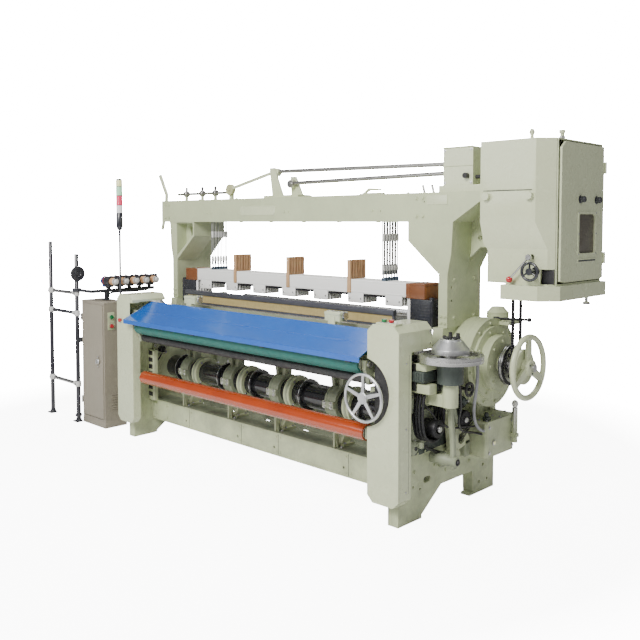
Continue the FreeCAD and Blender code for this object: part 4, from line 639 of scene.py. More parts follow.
COMB = striped("comb_laminate", (0.52, 0.19, 0.055), (0.10, 0.032, 0.012), "y", 0.012, rough=0.38, coat=0.4,
               vary=0.45)
SPACER = striped("spacer_wood", (0.66, 0.43, 0.235), (0.33, 0.16, 0.065), "y", 0.007, rough=0.5, vary=0.6)
STRAP = striped("lifting_strap", (0.40, 0.40, 0.38), (0.20, 0.21, 0.20), "y", 0.003, rough=0.6, height=0.0003)
HOOK = metal("blued_hook", (0.19, 0.25, 0.32), (0.08, 0.11, 0.15), rough=0.35, across=(30.0, 30.0, 4.0))
CLAMP_WHITE = plastic("white_fitting", (0.72, 0.72, 0.70), (0.6, 0.6, 0.58), rough=0.35)
BLACK_PLASTIC = plastic("black_housing", (0.022, 0.024, 0.032), (0.04, 0.042, 0.05), rough=0.25, coat=0.4)
FEEDER_BLUE = plastic("feeder_blue", (0.03, 0.09, 0.30), (0.02, 0.05, 0.2), rough=0.25, coat=0.4)
FEEDER_RED = plastic("feeder_red", (0.45, 0.03, 0.04), (0.3, 0.02, 0.02), rough=0.3, coat=0.3)
PALE_BLUE = plastic("pale_blue_guard", (0.50, 0.62, 0.74), (0.62, 0.72, 0.80), rough=0.2, coat=0.5)
THREAD = striped("wound_yarn", (0.86, 0.56, 0.32), (0.55, 0.26, 0.10), "x", 0.0016, rough=0.8, height=0.0004)
HOSE = striped("ribbed_hose", (0.42, 0.43, 0.46), (0.20, 0.21, 0.23), "z", 0.006, rough=0.5, height=0.0005,
               vary=0.15)
WINDOW_MESH = striped("window_grille", (0.235, 0.215, 0.18), (0.10, 0.09, 0.075), "z", 0.0034, rough=0.4,
                      metallic=0.5)
RED_CAP = plastic("red_button", (0.55, 0.015, 0.03), (0.4, 0.01, 0.02), rough=0.2, coat=0.6)
GREEN_CAP = plastic("green_button", (0.012, 0.23, 0.075), (0.01, 0.16, 0.05), rough=0.2, coat=0.6)
WHITE_CAP = plastic("white_button", (0.80, 0.79, 0.75), (0.7, 0.69, 0.66), rough=0.2, coat=0.5)
PULLEY_GREEN = plastic("band_pulley", (0.52, 0.52, 0.30), (0.40, 0.40, 0.22), rough=0.35)
CABLE = plastic("cable_sheath", (0.03, 0.03, 0.032), (0.05, 0.05, 0.05), rough=0.45)
LENS_RED = lens("red_lens", (0.74, 0.03, 0.10), 0.25)
LENS_GREEN = lens("green_lens", (0.34, 0.70, 0.42), 0.25)
LENS_YELLOW = lens("yellow_lens", (0.88, 0.86, 0.36), 0.25)
LENS_WHITE = lens("clear_lens", (0.82, 0.83, 0.84), 0.25)


def dress(finish_of, *names):
    """Gives CAD nodes their finish."""
    for name in names:
        nodes[name].data.materials.clear()
        nodes[name].data.materials.append(finish_of)


# ---------------------------------------------------------------- view, light and floor
def studio():
    """Camera, soft lights, pale world and floor."""
    lens_ = bpy.data.cameras.new("studio_camera")
    lens_.lens = 43.594
    lens_.sensor_width = 36
    lens_.shift_y = -0.0897
    camera = bpy.data.objects.new("studio_camera", lens_)
    camera.location = (3.7302, -3.3595, 1.5)
    camera.rotation_euler = (math.radians(87), 0, math.radians(44.1))
    bpy.context.scene.collection.objects.link(camera)
    bpy.context.scene.camera = camera
    world = bpy.data.worlds.new("pale_studio")
    bpy.context.scene.world = world
    world.use_nodes = True
    tree = world.node_tree
    back = tree.nodes["Background"]
    ray = tree.nodes.new("ShaderNodeLightPath").outputs["Is Camera Ray"]
    power = add(tree, "ShaderNodeMix", i0=ray, i2=WORLD_LIGHT, i3=WORLD_SEEN).outputs[0]
    back.inputs["Color"].default_value = (1.0, 1.0, 1.0, 1)
    tree.links.new(power, back.inputs["Strength"])
    for name, place, aim, size, watts, tone in (
            ("key_light", (1.8, -5.0, 4.6), (0.3, -0.1, 0.9), 2.2, 430, (1.0, 0.98, 0.95)),
            ("front_fill", (-1.2, -4.6, 3.0), (0.0, 0.0, 0.7), 3.0, 80, (0.97, 0.99, 1.0)),
            ("side_fill", (5.4, -1.2, 3.4), (1.4, 0.2, 0.9), 2.0, 28, (1.0, 1.0, 1.0)),
            ("top_light", (-0.6, 1.2, 4.8), (0.0, 0.2, 1.2), 3.0, 120, (1.0, 1.0, 1.0))):
        lamp = bpy.data.lights.new(name, "AREA")
        lamp.shape, lamp.size, lamp.energy, lamp.color = "DISK", size, watts, tone
        light = bpy.data.objects.new(name, lamp)
        light.location = place
        light.rotation_euler = (Vector(aim) - Vector(place)).to_track_quat("-Z", "Y").to_euler()
        bpy.context.scene.collection.objects.link(light)
    t = np.linspace(0, TAU, 64, endpoint=False)
    rim = np.stack([9 * np.cos(t), 9 * np.sin(t)], -1)
    floor_mesh = bpy.data.meshes.new("studio_floor")
    floor_mesh.from_pydata([(x, y, -0.0006) for x, y in rim.tolist()], [], [list(range(64))])
    floor = bpy.data.objects.new("studio_floor", floor_mesh)
    bpy.context.scene.collection.objects.link(floor)
    paper, tree, _, uses, _ = finish("floor_paper", Roughness=0.9)
    mottle = add(tree, "ShaderNodeTexNoise", Vector=tree.nodes.new("ShaderNodeTexCoord").outputs["Object"],
                 Scale=14.0, Detail=6.0).outputs["Fac"]
    near = add(tree, "ShaderNodeVectorMath", operation="LENGTH",
               i0=tree.nodes.new("ShaderNodeTexCoord").outputs["Object"]).outputs["Value"]
    fade = add(tree, "ShaderNodeMapRange", Value=near, From_Min=2.4, From_Max=5.5).outputs[0]
    ray = tree.nodes.new("ShaderNodeLightPath").outputs["Is Camera Ray"]
    seen = sums(tree, "MULTIPLY", ray, fade)
    uses(Base_Color=blend_of(tree, mottle, (0.93, 0.93, 0.925, 1), (0.965, 0.965, 0.96, 1)),
         Emission_Strength=sums(tree, "ADD", sums(tree, "MULTIPLY", seen, FLOOR_GLOW),
                                sums(tree, "MULTIPLY", ray, 9.0)))
    floor_mesh.materials.append(paper)


WORLD_LIGHT, WORLD_SEEN, FLOOR_GLOW = 0.20, 40.0, 30.0
studio()

# ---------------------------------------------------------------- CAD pieces in their finish
dress(CASTING, "side_frame_left", "side_frame_right", "column_left", "column_right", "top_beam",
      "roller_brackets",
      "sley_bearings", "gear_case", "drive_cover", "dobby_bracket", "cross_members", "rapier_housings",
      "main_handwheel")
dress(SHEET, "cover_box_left", "cover_box_right", "dobby_front_cover", "dobby_body", "dobby_door",
      "dobby_tray", "temples",
      "overhead_linkage")
# Painted shade: the sley swords and sley beam get the darker shaded enamel.
dress(SHADED, "sley_swords", "sley_beam")
dress(BLUE, "breast_cover")
dress(TEAL, "take_up_roller")
dress(RUBBER, "press_roller")
dress(ORANGE, "cloth_roller")
dress(GLOSS_BLACK, "rocker_shaft", "shaft_rings")
dress(STEEL, "back_rest", "rapier_wheel_left", "rapier_wheel_right", "drive_pulley", "dobby_sprocket")
dress(WHEEL_METAL, "take_up_handwheel")
dress(IRON, "dobby_chain")
dress(REED_CAP, "reed")
dress(REED_WIRE, "reed_wires")
dress(COMB, "heald_guides")
dress(TAUPE, "cabinet_case", "cabinet_door", "cabinet_latch")
dress(BLACK_PLASTIC, "yarn_stand", "weft_feeders", "dobby_handwheel")
dress(LENS_WHITE, "signal_tower")
dress(HOSE, "lubrication_pipe")
dress(BAR_STEEL, "sector_lever", "dobby_lever")
dress(BARS, *(f"heald_frame_{k}" for k in range(1, 7)))
dress(RED_CAP, "left_stop_button", "right_stop_button", "cabinet_stop_button")
dress(GREEN_CAP, "right_start_button", "cabinet_start_button")


# ---------------------------------------------------------------- castings and covers
# The sley swords and sley beam keep the painted shade enamel.
for node, coat, width in (
        ("side_frame_right", CASTING, 5.0), ("side_frame_left", CASTING, 5.0), ("column_right", CASTING, 5.0),
        ("column_left", CASTING, 5.0), ("top_beam", CASTING, 5.0), ("dobby_bracket", CASTING, 3.0),
        ("cover_box_right", SHEET, 2.6), ("cover_box_left", SHEET, 2.6), ("dobby_front_cover", SHEET, 2.6),
        ("dobby_body", SHEET, 2.2), ("dobby_tray", SHEET, 2.2), ("roller_brackets", CASTING, 3.0),
        ("sley_bearings", CASTING, 3.0), ("sley_swords", SHADED, 3.5), ("gear_case", CASTING, 3.5),
        ("drive_cover", CASTING, 3.5), ("rapier_housings", CASTING, 3.0), ("temples", SHEET, 4.0),
        ("cabinet_case", TAUPE, 3.0), ("cabinet_door", TAUPE, 1.8), ("main_handwheel", SHEET, 2.0),
        ("take_up_handwheel", WHEEL_METAL, 1.6), ("overhead_linkage", SHEET, 2.0),
        ("sector_lever", SHEET, 2.0),
        ("cross_members", CASTING, 1.6), ("breast_cover", BLUE, 1.4), ("sley_beam", SHADED, 2.0)):
    softened(node, coat, width)


# ---------------------------------------------------------------- heald frames
def heald_frame(k):
    """White bars with seven clips, dark heald rods that also paint the shadow under the top bar, wooden
    spacers, hooks and lifting cords.
    """
    y0 = 404.0 + 24.0 * k
    y1, middle, body = y0 + 12, y0 + 6, f"heald_{k + 1}"
    bars = [block(-955, 955, y0, y1, 1090, 1170, 2.5, 3, "x"),
            block(-955, 955, y0, y1, 700, 760, 2.5, 3, "x")]
    bars += both_sides([block(935, 954, y0 + 1, y1 - 1, 702, 1168, 2, 3, "z")])
    clip = plate([(-60, 1034), (60, 1034), (60, 1092), (-60, 1092)], y0, y0 + 7, "y", 1.5, 9)
    bars += [moved(clip, 280.0 * i) for i in range(-3, 4)]
    bars += [block(-929, 929, y0 - 1.2, y0 + 1, z, z + 5, 0.8, 1, "x") for z in (1098, 1157)]
    piece(f"heald_bars_{k + 1}", bars, BARS, body, (f"heald_frame_{k + 1}",))
    # Real heald rods in dark iron; between the clips their dark colour also paints the shadow line under the
    # top bar.
    rods = [pipe([(-900, y0 + 9, 1080), (900, y0 + 9, 1080)], 3.6, 8, straight=True),
            pipe([(-930, y0 + 6, 768), (930, y0 + 6, 768)], 3.6, 8, straight=True)]
    rods += [block(280.0 * i - 20, 280.0 * i + 20, y0 + 5, y0 + 11.5, 1070, 1090, 1, 2) for i in range(-3, 4)]
    piece(f"heald_rods_and_shadow_line_{k + 1}", rods, IRON, body)
    outline = [(y0 - 8, 1092), (y0 - 0.2, 1092), (y0 - 0.2, 1170.5), (y1 - 0.6, 1170.5), (y1 - 0.6, 1282),
               (y0 - 8, 1282)]
    wood = [plate(outline, x - 13, x + 13, "x", 1.6, 1.4) for x in (-515, 0, 515)]
    piece(f"heald_spacers_{k + 1}", wood, SPACER, body)
    hooks, cords, ties = [], [], []
    for x in (-765, 765):
        hooks.append(block(x - 11, x + 11, middle - 5, middle + 5, 1169, 1190, 1.5, 3))
        hooks.append(plate([(x - 4, 1188), (x + 4, 1188), (x + 4, 1226), (x - 9, 1226), (x - 9, 1216),
                            (x - 4, 1212)],
                           middle - 3, middle + 3, "y", 1, 2))
        cords += [pipe([(x + dx, middle + dy, 1204), (x + dx, middle + dy, 1589)], 3.1, 6, straight=True)
                  for dx, dy in ((-5, -5), (4, -1), (-3, 5))]
        ties.append(turned([(5, 1226), (8, 1229), (8, 1252), (6, 1256), (6, 1262)], (x, middle, 0), "z", 12))
        ties.append(block(x - 8, x + 8, middle - 8, middle + 8, 1392, 1434, 2, 3, "z"))
    piece(f"heald_hooks_{k + 1}", hooks, HOOK, body)
    piece(f"lifting_cords_{k + 1}", cords, STRAP, body)
    piece(f"cord_clamps_{k + 1}", ties, CLAMP_WHITE, body)
    screws = hex_screws([(280.0 * i + dx, y0, 1060) for i in range(-3, 4) for dx in (-42, 42)], "y", 4, 3, -1)
    piece(f"heald_screws_{k + 1}", [screws], STEEL, body)


for number in range(6):
    heald_frame(number)


def guide_combs():
    """Brown laminated combs on dark boxes with two shafts to each column."""
    comb = [block(960, 1060, 394, 552, 1087, 1158, 2, 3, "z"),
            block(958, 1061, 393, 553, 1158, 1170, 2, 3, "z")]
    comb += [block(934, 962, 404 + 24 * k - 11.5, 404 + 24 * k - 0.5, 1089, 1169, 1.5, 3,
                   "z") for k in range(7)]
    piece("guide_combs", both_sides(comb), COMB, instead_of=("heald_guides",))
    case = [plate([(960, 394), (1110, 394), (1110, 552), (960, 552)], 930, 1087, "z", 4, 12),
            plate([(972, 392.4), (1098, 392.4), (1098, 396), (972, 396)], 944, 1073, "z", 1, 1)]
    case += [block(972, 1098, 391, 394.6, z, z + 6, 1, 1.5, "x") for z in range(952, 1066, 15)]
    case += [turned([(9, 0), (14, 2), (14, 12), (9, 14)], (1096, y, 1086), "z", 14) for y in (410, 536)]
    piece("comb_boxes", both_sides(case), BLACK_PLASTIC)
    shafts = [turned([(11.4, 1108), (12, 1109), (12, 1156)], (0, 473, z), "x", 20) for z in (985, 1050)]
    shafts += [turned([(20, 1138), (20, 1150), (18, 1153)], (0, 473, z), "x", 24) for z in (985, 1050)]
    shafts.append(cap_screws([(985, 430, 1170), (985, 516, 1170), (1040, 430, 1170), (1040, 516, 1170)], "z",
                             6, 4))
    piece("comb_shafts", both_sides(shafts), STEEL)


guide_combs()


# ---------------------------------------------------------------- signal tower, feeders and yarn stand
def signal_tower():
    """Pole, dark base and four ribbed lenses with a cap."""
    at = (-1488.0, 118.0, 0.0)
    dark = [turned([(22, 920), (22, 926), (20, 928), (10, 932), (8, 936), (8, 1442)], at, "z", 24),
            turned([(12, 1440), (14, 1442), (23, 1462), (24, 1468), (24, 1560), (22.5, 1562), (22.5, 1566)],
                   at, "z", 32),
            turned([(22, 1804), (20.5, 1806), (20.5, 1812), (17, 1816)], at, "z", 32)]
    dark += [ring([(23.2, z), (24, z + 0.8), (24, z + 2.2), (23.2, z + 3), (21, z + 1.5)], at, "z",
                  32) for z in (1620.5, 1690.5, 1756.5)]
    piece("tower_pole_and_base", dark, BLACK_PLASTIC, instead_of=("signal_tower",))
    for name, low, high, tone in (("clear", 1566, 1621, LENS_WHITE), ("red", 1623, 1691, LENS_RED),
                                  ("green", 1693, 1757, LENS_GREEN), ("yellow", 1759, 1804, LENS_YELLOW)):
        rows = [(22.2, low), (23.4, low + 1.2)]
        rows += [(23.6 - 0.7 * (i % 2), low + 2 + (high - low - 4) * i / 16) for i in range(17)]
        piece(f"tower_lens_{name}", [turned(rows + [(23.4, high - 1.2), (22.2, high)], at, "z", 36)], tone,
              sharp=80)


signal_tower()


def yarn_stand():
    """Black uprights and middle bar, two pale tubes, white clamps, feet and the round guide."""
    y = -55.0
    left, right = -2215.0, -1812.0
    black = [turned([(14, 6), (16, 8), (16, top - 4), (13, top)], (x, y, 0), "z", 20) for x,
             top in ((left, 1350), (right, 1262))]
    black += [turned([(13, left + 8), (13, right - 8)], (0, y, 818), "x", 18)]
    black += [turned([(55, right + 10), (57, right + 13), (57, right + 22), (54, right + 26)], (0, y, 1115),
                     "x", 40),
              ring(slab_section(20, 30, right + 4, right + 30, 2), (0, y, 1115), "x", 28)]
    black += [block(x - 34, x + 34, y - 32, y + 20, 0, 7, 1.5, 8, "z") for x in (left, right)]
    black += [turned([(24, 6), (22, 12), (17, 26), (16, 40)], (x, y, 0), "z", 20) for x in (left, right)]
    black += [ring(slab_section(16, 24, 40, 58, 2), (right, y, 0), "z", 20)]
    black += [block(right + 10, -1780, y + 4, y + 12, 600, 640, 1.5, 3, "x"),
              block(-1786, -1779.6, y + 4, 6, 600, 640, 1.5, 3, "z")]
    piece("stand_uprights", black, BLACK_PLASTIC, instead_of=("yarn_stand",))
    tubes = [turned([(11, left + 10), (13, left + 12), (13, right - 12), (11, right - 10)], (0, y, z), "x",
                    20) for z in (968, 285)]
    piece("stand_tubes", tubes, STEEL)
    clamps = []
    for z in (968, 818, 285):
        for x, way in ((left, 1), (right, -1)):
            clamps.append(turned([(19, z - 20), (22.5, z - 17), (22.5, z + 17), (19, z + 20)], (x, y, 0),
                                 "z", 20))
            clamps.append(turned([(17, 14), (18.5, 17), (18.5, 44), (16, 47)] if way > 0 else
                                 [(16, -47), (18.5, -44), (18.5, -17), (17, -14)], (x, y, z), "x", 18))
    clamps.append(turned([(5, 0), (9, 3), (9, 14), (5, 18)], (right, y - 38, 1115), "y", 14))
    piece("stand_clamps", clamps, CLAMP_WHITE)
    piece("stand_clamp_screws", [hex_screws([(x, y - 22, z) for x in (left, right) for z in (968, 818, 285)],
                                            "y", 5, 5, -1)], STEEL)


yarn_stand()


def weft_feeders():
    """Rail with five feeders: motor housing, yarn drum, flange, white nose ring and yarn eye."""
    x, rail = -1604.0, 1004.0
    rails = [block(x - 12, x + 12, -55, 482, 980, 1004, 2, 3, "y"),
             block(-1787, x + 12, -65, -41, 981, 1003, 2, 3, "x"),
             block(x - 14, x + 14, 60, 90, 920, 981, 2, 3, "z"),
             block(x - 34, x + 34, 48, 102, 920, 928, 2, 6, "z")]
    rails.append(ring(slab_section(23.2, 32, 978, 1006, 2), (-1812, -55, 0), "z", 24))
    piece("feeder_rail", rails, BLACK_PLASTIC, instead_of=("weft_feeders",))
    dark, blue, red, white, yarn, eyes = [], [], [], [], [], []
    for i in range(5):
        y, z = 90.0 + 88.0 * i, 1062.0
        dark += [block(x - 10, x + 10, y - 12, y + 12, rail, z - 20, 2, 3, "z"),
                 turned([(20, x - 70), (30, x - 68), (34, x - 58), (34, x - 6), (31, x - 2), (31, x + 26),
                         (34, x + 30), (34, x + 38)],
                        (0, y, z), "x", 28),
                 ring(slab_section(26, 38, x + 40, x + 48, 2), (0, y, z), "x", 36),
                 block(x - 56, x + 30, y - 22, y + 22, z - 46, z - 20, 4, 8, "x"),
                 block(x + 20, x + 104, y - 7, y + 7, z + 32, z + 42, 2, 3, "x"),
                 block(x + 92, x + 104, y - 7, y + 7, z - 2, z + 42, 2, 3, "z")]
        blue += [ring(slab_section(33, 36, x - 52, x - 34, 1), (0, y, z), "x", 30),
                 block(x - 50, x - 20, y - 23.5, y + 23.5, z - 42, z - 30, 1.5, 3, "x")]
        red += [ring(slab_section(32, 35.4, x - 26, x - 20, 1), (0, y, z), "x", 30),
                turned([(4, 0), (5, 2), (5, 8), (3, 10)], (x - 40, y - 8, z + 33), "z", 12)]
        white += [turned([(16, x + 99), (20, x + 102), (18, x + 110), (12, x + 117)], (0, y, z), "x", 24),
                  ring(slab_section(22, 26.6, x + 92, x + 100, 1), (0, y, z), "x", 30)]
        yarn += [turned([(24, x + 46), (27, x + 50), (27, x + 80), (25, x + 94)], (0, y, z), "x", 30)]
        eyes += [ring(round_section(7, 1.6), (x + 98, y, z + 48), "x", 18),
                 turned([(3, 0), (3, 6)], (x + 98, y, z + 38), "z", 8)]
    piece("feeder_housings", dark, BLACK_PLASTIC)
    piece("feeder_bands", blue, FEEDER_BLUE)
    piece("feeder_switches", red, FEEDER_RED)
    piece("feeder_nose_rings", white, CLAMP_WHITE)
    piece("feeder_yarn", yarn, THREAD)
    piece("feeder_eyes", eyes, STEEL)
    leads = [pipe([(x - 10, 90 + 88 * i, 1030), (x - 30, 84 + 88 * i, 1006), (x - 20, 70 + 88 * i, 985),
                   (x - 14, 60 + 80 * i, 976)], 3.2, 8)
             for i in range(5)]
    leads.append(pipe([(x - 14, 430, 976), (x - 16, 300, 972), (x - 14, 150, 974), (x - 12, 96, 962),
                       (x - 24, 92, 930)], 6, 10))
    piece("feeder_leads", leads, CABLE)


weft_feeders()


# ---------------------------------------------------------------- dobby
def dobby_details():
    """Round cover knobs, seam, small handwheel boss, lamp, labels' frame and the side door."""
    knobs = [turned([(19, 358.6), (19.6, 362), (19.6, 372), (15, 375), (15, 379), (23, 379.4), (24, 381)],
                    (x, 0, 1625), "y", 28)
             for x in (1444, 1677)]
    piece("dobby_cover_knobs", knobs, SHEET)
    x0 = 1780.6
    door = [holed_plate([(466, 1211), (923, 1211), (923, 1881), (466, 1881)],
                        [(650, 1346), (827, 1346), (827, 1539), (650, 1539)],
                        x0, x0 + 12, "x", 1.8, 5)]
    door += [holed_plate([(637, 1333), (840, 1333), (840, 1552), (637, 1552)],
                         [(651, 1347), (826, 1347), (826, 1538), (651, 1538)],
                         x0 + 11, x0 + 15, "x", 1, 4)]
    door += [block(x0 + 10.5, x0 + 14, 641, 836, 1300, 1320, 1, 3, "x")]
    piece("side_door_sheet", door, SHEET, "dobby_side_door", ("dobby_door",))
    grille = [block(x0 + 2, x0 + 5, 649, 828, 1345, 1540, 0.8, 1, "x")]
    piece("side_door_window", grille, WINDOW_MESH, "dobby_side_door")
    marks = [turned([(20, x0 + 12), (20, x0 + 14), (13, x0 + 16), (16, x0 + 19), (16, x0 + 35),
                     (13, x0 + 38)], (0, y, 1610), "x", 24)
             for y in (661, 837)]
    marks.append(block(x0 + 12, x0 + 14.4, 645, 832, 1306, 1314, 0.6, 2, "x"))
    piece("side_door_knobs", marks, BLACK_PLASTIC, "dobby_side_door")
    piece("side_door_rivets", [hex_screws([(x0 + 15, y, z) for y in (643.5, 833.5) for z in (1342, 1442,
        1546)], "x", 3.2, 2)],
          STEEL, "dobby_side_door")
    face = 362.0
    wheel = [ring(round_section(41, 7.2), (1690, face, 1266), "y", 48),
             turned([(15, -11), (17, -9), (17, 9), (12, 11)], (1690, face, 1266), "y", 24)]
    for i in range(3):
        a = math.radians(90 + 120 * i)
        wheel.append(pipe([(1690 + 12 * math.cos(a), face, 1266 + 12 * math.sin(a)),
                           (1690 + 40 * math.cos(a), face, 1266 + 40 * math.sin(a))],
                          [5.5, 4.2], 10, straight=True))
    wheel.append(turned([(8.6, 6), (9, 8), (9, 88)], (1690, face, 1266), "y", 18))
    wheel.append(turned([(3, -12), (5, -13), (6, -22), (5, -30), (2, -32)], (1690, face, 1266 + 40), "y", 14))
    piece("small_dobby_wheel", wheel, BLACK_PLASTIC, "dobby_wheel", ("dobby_handwheel",))
    lever = [pipe([(1668, 389, 1332), (1574, 389, 1230)], 5, 12, straight=True),
             turned([(13, 382), (15, 384), (15, 394), (13, 396)], (1668, 0, 1332), "y", 22),
             turned([(7, 386), (7, 451)], (1668, 0, 1332), "y", 14)]
    piece("reverse_lever_arm", lever, STEEL, "dobby_reverse_lever", ("dobby_lever",))
    piece("reverse_lever_ball", [ball((1567, 389, 1222), 16, 24)], RED_CAP, "dobby_reverse_lever")
    bearing = [ring(slab_section(13, 20, 414, 422, 1), (1690, 0, 1266), "y", 24),
               block(1712, 1768, 441, 442.4, 1200, 1280, 0.5, 2)]
    piece("dobby_wheel_escutcheon", bearing, IRON)
    dark = [block(1421, 1688, 378.6, 381.6, 1650.4, 1653.6, 0.6, 1, "x")]
    dark.append(plate([(1716, 441.2), (1716, 443.0), (1774, 443.0), (1774, 441.2)], 1204, 1276, "z", 0.5,
                      0.5))
    piece("dobby_seams", dark, RUBBER)
    lamp = [turned([(9, 1921), (14, 1922), (15, 1928), (14, 1934), (8, 1937)], (1762, 524, 0), "z", 24)]
    piece("dobby_lamp", lamp, LENS_RED)
    bits = [turned([(11.5, 1894), (13, 1896), (13, 1902), (10.4, 1905)], (1606, 520, 0), "z", 20),
            turned([(12, 1894), (14, 1896), (14, 1906), (11, 1908)], (1762, 524, 0), "z", 20)]
    bits.append(ring(round_section(13, 2.6), (1606, 520, 1938), "y", 24))
    bits.append(hex_screws([(x, y, 1895) for x in (1440, 1740) for y in (480, 890)], "z", 6, 5))
    bits.append(hex_screws([(1405, y, z) for y in (480, 560, 880) for z in (1560, 1700, 1860)], "x", 6, 5,
                           -1))
    bits.append(turned([(17, 1083), (19, 1085), (19, 1093), (8.6, 1096), (8.6, 1124)], (1760, 814, 0), "z",
                       20))
    bits.append(hex_screws([(x, 925, z) for x in (1440, 1590, 1740) for z in (1240, 1540, 1860)], "y", 6, 5))
    piece("dobby_fittings", bits, STEEL)
    louvres = [plate([(1460, z), (1720, z), (1720, z + 9), (1460, z + 9)], 923.5, 930.5, "y", 2.4,
                     4) for z in range(1600, 1790, 22)]
    piece("dobby_rear_louvres", louvres, SHEET)


dobby_details()


def roller_chain():
    """Two-row roller chain: alternate plates and rollers along both straights and sprockets."""
    y, z0, z1, r = 635.0, 755.0, 1290.0, 38.0
    length = 2 * (z1 - z0) + TAU * r
    count = 96
    s = np.arange(count) * length / count
    places = []
    for d in s:
        if d < z1 - z0:
            places.append((y + r, z0 + d, 0.0))
        elif d < z1 - z0 + math.pi * r:
            a = (d - (z1 - z0)) / r
            places.append((y + r * math.cos(a), z1 + r * math.sin(a), math.degrees(a)))
        elif d < 2 * (z1 - z0) + math.pi * r:
            places.append((y - r, z1 - (d - (z1 - z0) - math.pi * r), 180.0))
        else:
            a = (d - 2 * (z1 - z0) - math.pi * r) / r + math.pi
            places.append((y + r * math.cos(a), z0 + r * math.sin(a), math.degrees(a)))
    link = [(math.cos(t) * 5.0, math.sin(t) * 5.0 + (6.4 if math.sin(t) > 0 else -6.4))
            for t in np.linspace(0, TAU, 16, endpoint=False)]
    roller = turned([(4.4, 1462.4), (5.0, 1463.0), (5.0, 1477.0), (4.4, 1477.6)], (0, 0, 0), "x", 10)
    shapes = []
    for k, (py, pz, turn) in enumerate(places):
        gap = 0.6 if k % 2 else 2.4
        for low in (1461.6 + gap, 1469.2, 1476.8 - gap):
            side = plate(link, low, low + 1.5, "x", 0.3, 0.3, 1)
            shapes.append(moved(tilted(side, "x", turn, (0, 0, 0)), 0, py, pz))
        shapes.append(moved(roller, 0, py, pz))
    piece("drive_roller_chain", shapes, IRON, instead_of=("dobby_chain",), sharp=30)


roller_chain()


# ---------------------------------------------------------------- second finishes on castings
def also(node, coat, test):
    """Gives another finish to the faces of a casting whose middle, in loom millimetres, passes a test."""
    thing = bpy.data.objects[node + "_casting"]
    thing.data.materials.append(coat)
    index = len(thing.data.materials) - 1
    for face in thing.data.polygons:
        if test(*((np.array(face.center) - DATUM) * 1000)):
            face.material_index = index


def near(u, v, cu, cv, r):
    return (u - cu) ** 2 + (v - cv) ** 2 < r * r


for side, wheel_y in ((1, 172.0), (-1, 330.0)):
    also("rapier_housings", WHEEL_METAL, lambda x, y,
         z: x * side > 0 and z > 865 and near(abs(x), y, 1380, wheel_y, 96))
    also("rapier_housings", RUBBER, lambda x, y, z: x * side > 0 and z > 931)
    also("rapier_housings", GREEN_BLACK, lambda x, y,
         z: x * side > 0 and z < 824 and near(abs(x), y, 1380, wheel_y, 66) and z > 690)
also("rapier_housings", IRON, lambda x, y,
     z: abs(x) > 1202 and abs(x) < 1262 and 58 < y < 132 and z > 660 and z < 812)
# Black lining of the handwheel well on the right cover: painted shade inside the recess.
also("cover_box_right", RUBBER, lambda x, y, z: near(x, z, 1013, 660, 174.5) and -59 < y < -2)
also("overhead_linkage", BAR_STEEL, lambda x, y,
     z: -170 < x < 1147 and z > 1725 and not (x < 20 and z < 1800 and y > 517))
also("overhead_linkage", STEEL, lambda x, y, z: x < -690 and z > 1692 and x > -1345)
also("overhead_linkage", PULLEY_GREEN, lambda x, y, z: near(x, z, -671, 1722, 37.5) and y < 508)
also("overhead_linkage", RUBBER, lambda x, y, z: (1240 < x < 1312 and y < 429.5 and 1700 < z < 1760)
     or (x > 1330.5 and 1715 < z < 1745 and 440 < y < 480))
also("overhead_linkage", BAR_STEEL, lambda x, y, z: 980 < x < 1085 and z < 1702 and z > 1656 and y < 470)
# Painted shade on the lower inner parts of the roller brackets.
also("roller_brackets", SHADED, lambda x, y, z: z < 780 and abs(x) < 1040)
also("gear_case", STEEL, lambda x, y, z: z > 440 and x > 1352 and y > 770)
also("breast_cover", PALE_BLUE, lambda x, y, z: x < -1079.5)


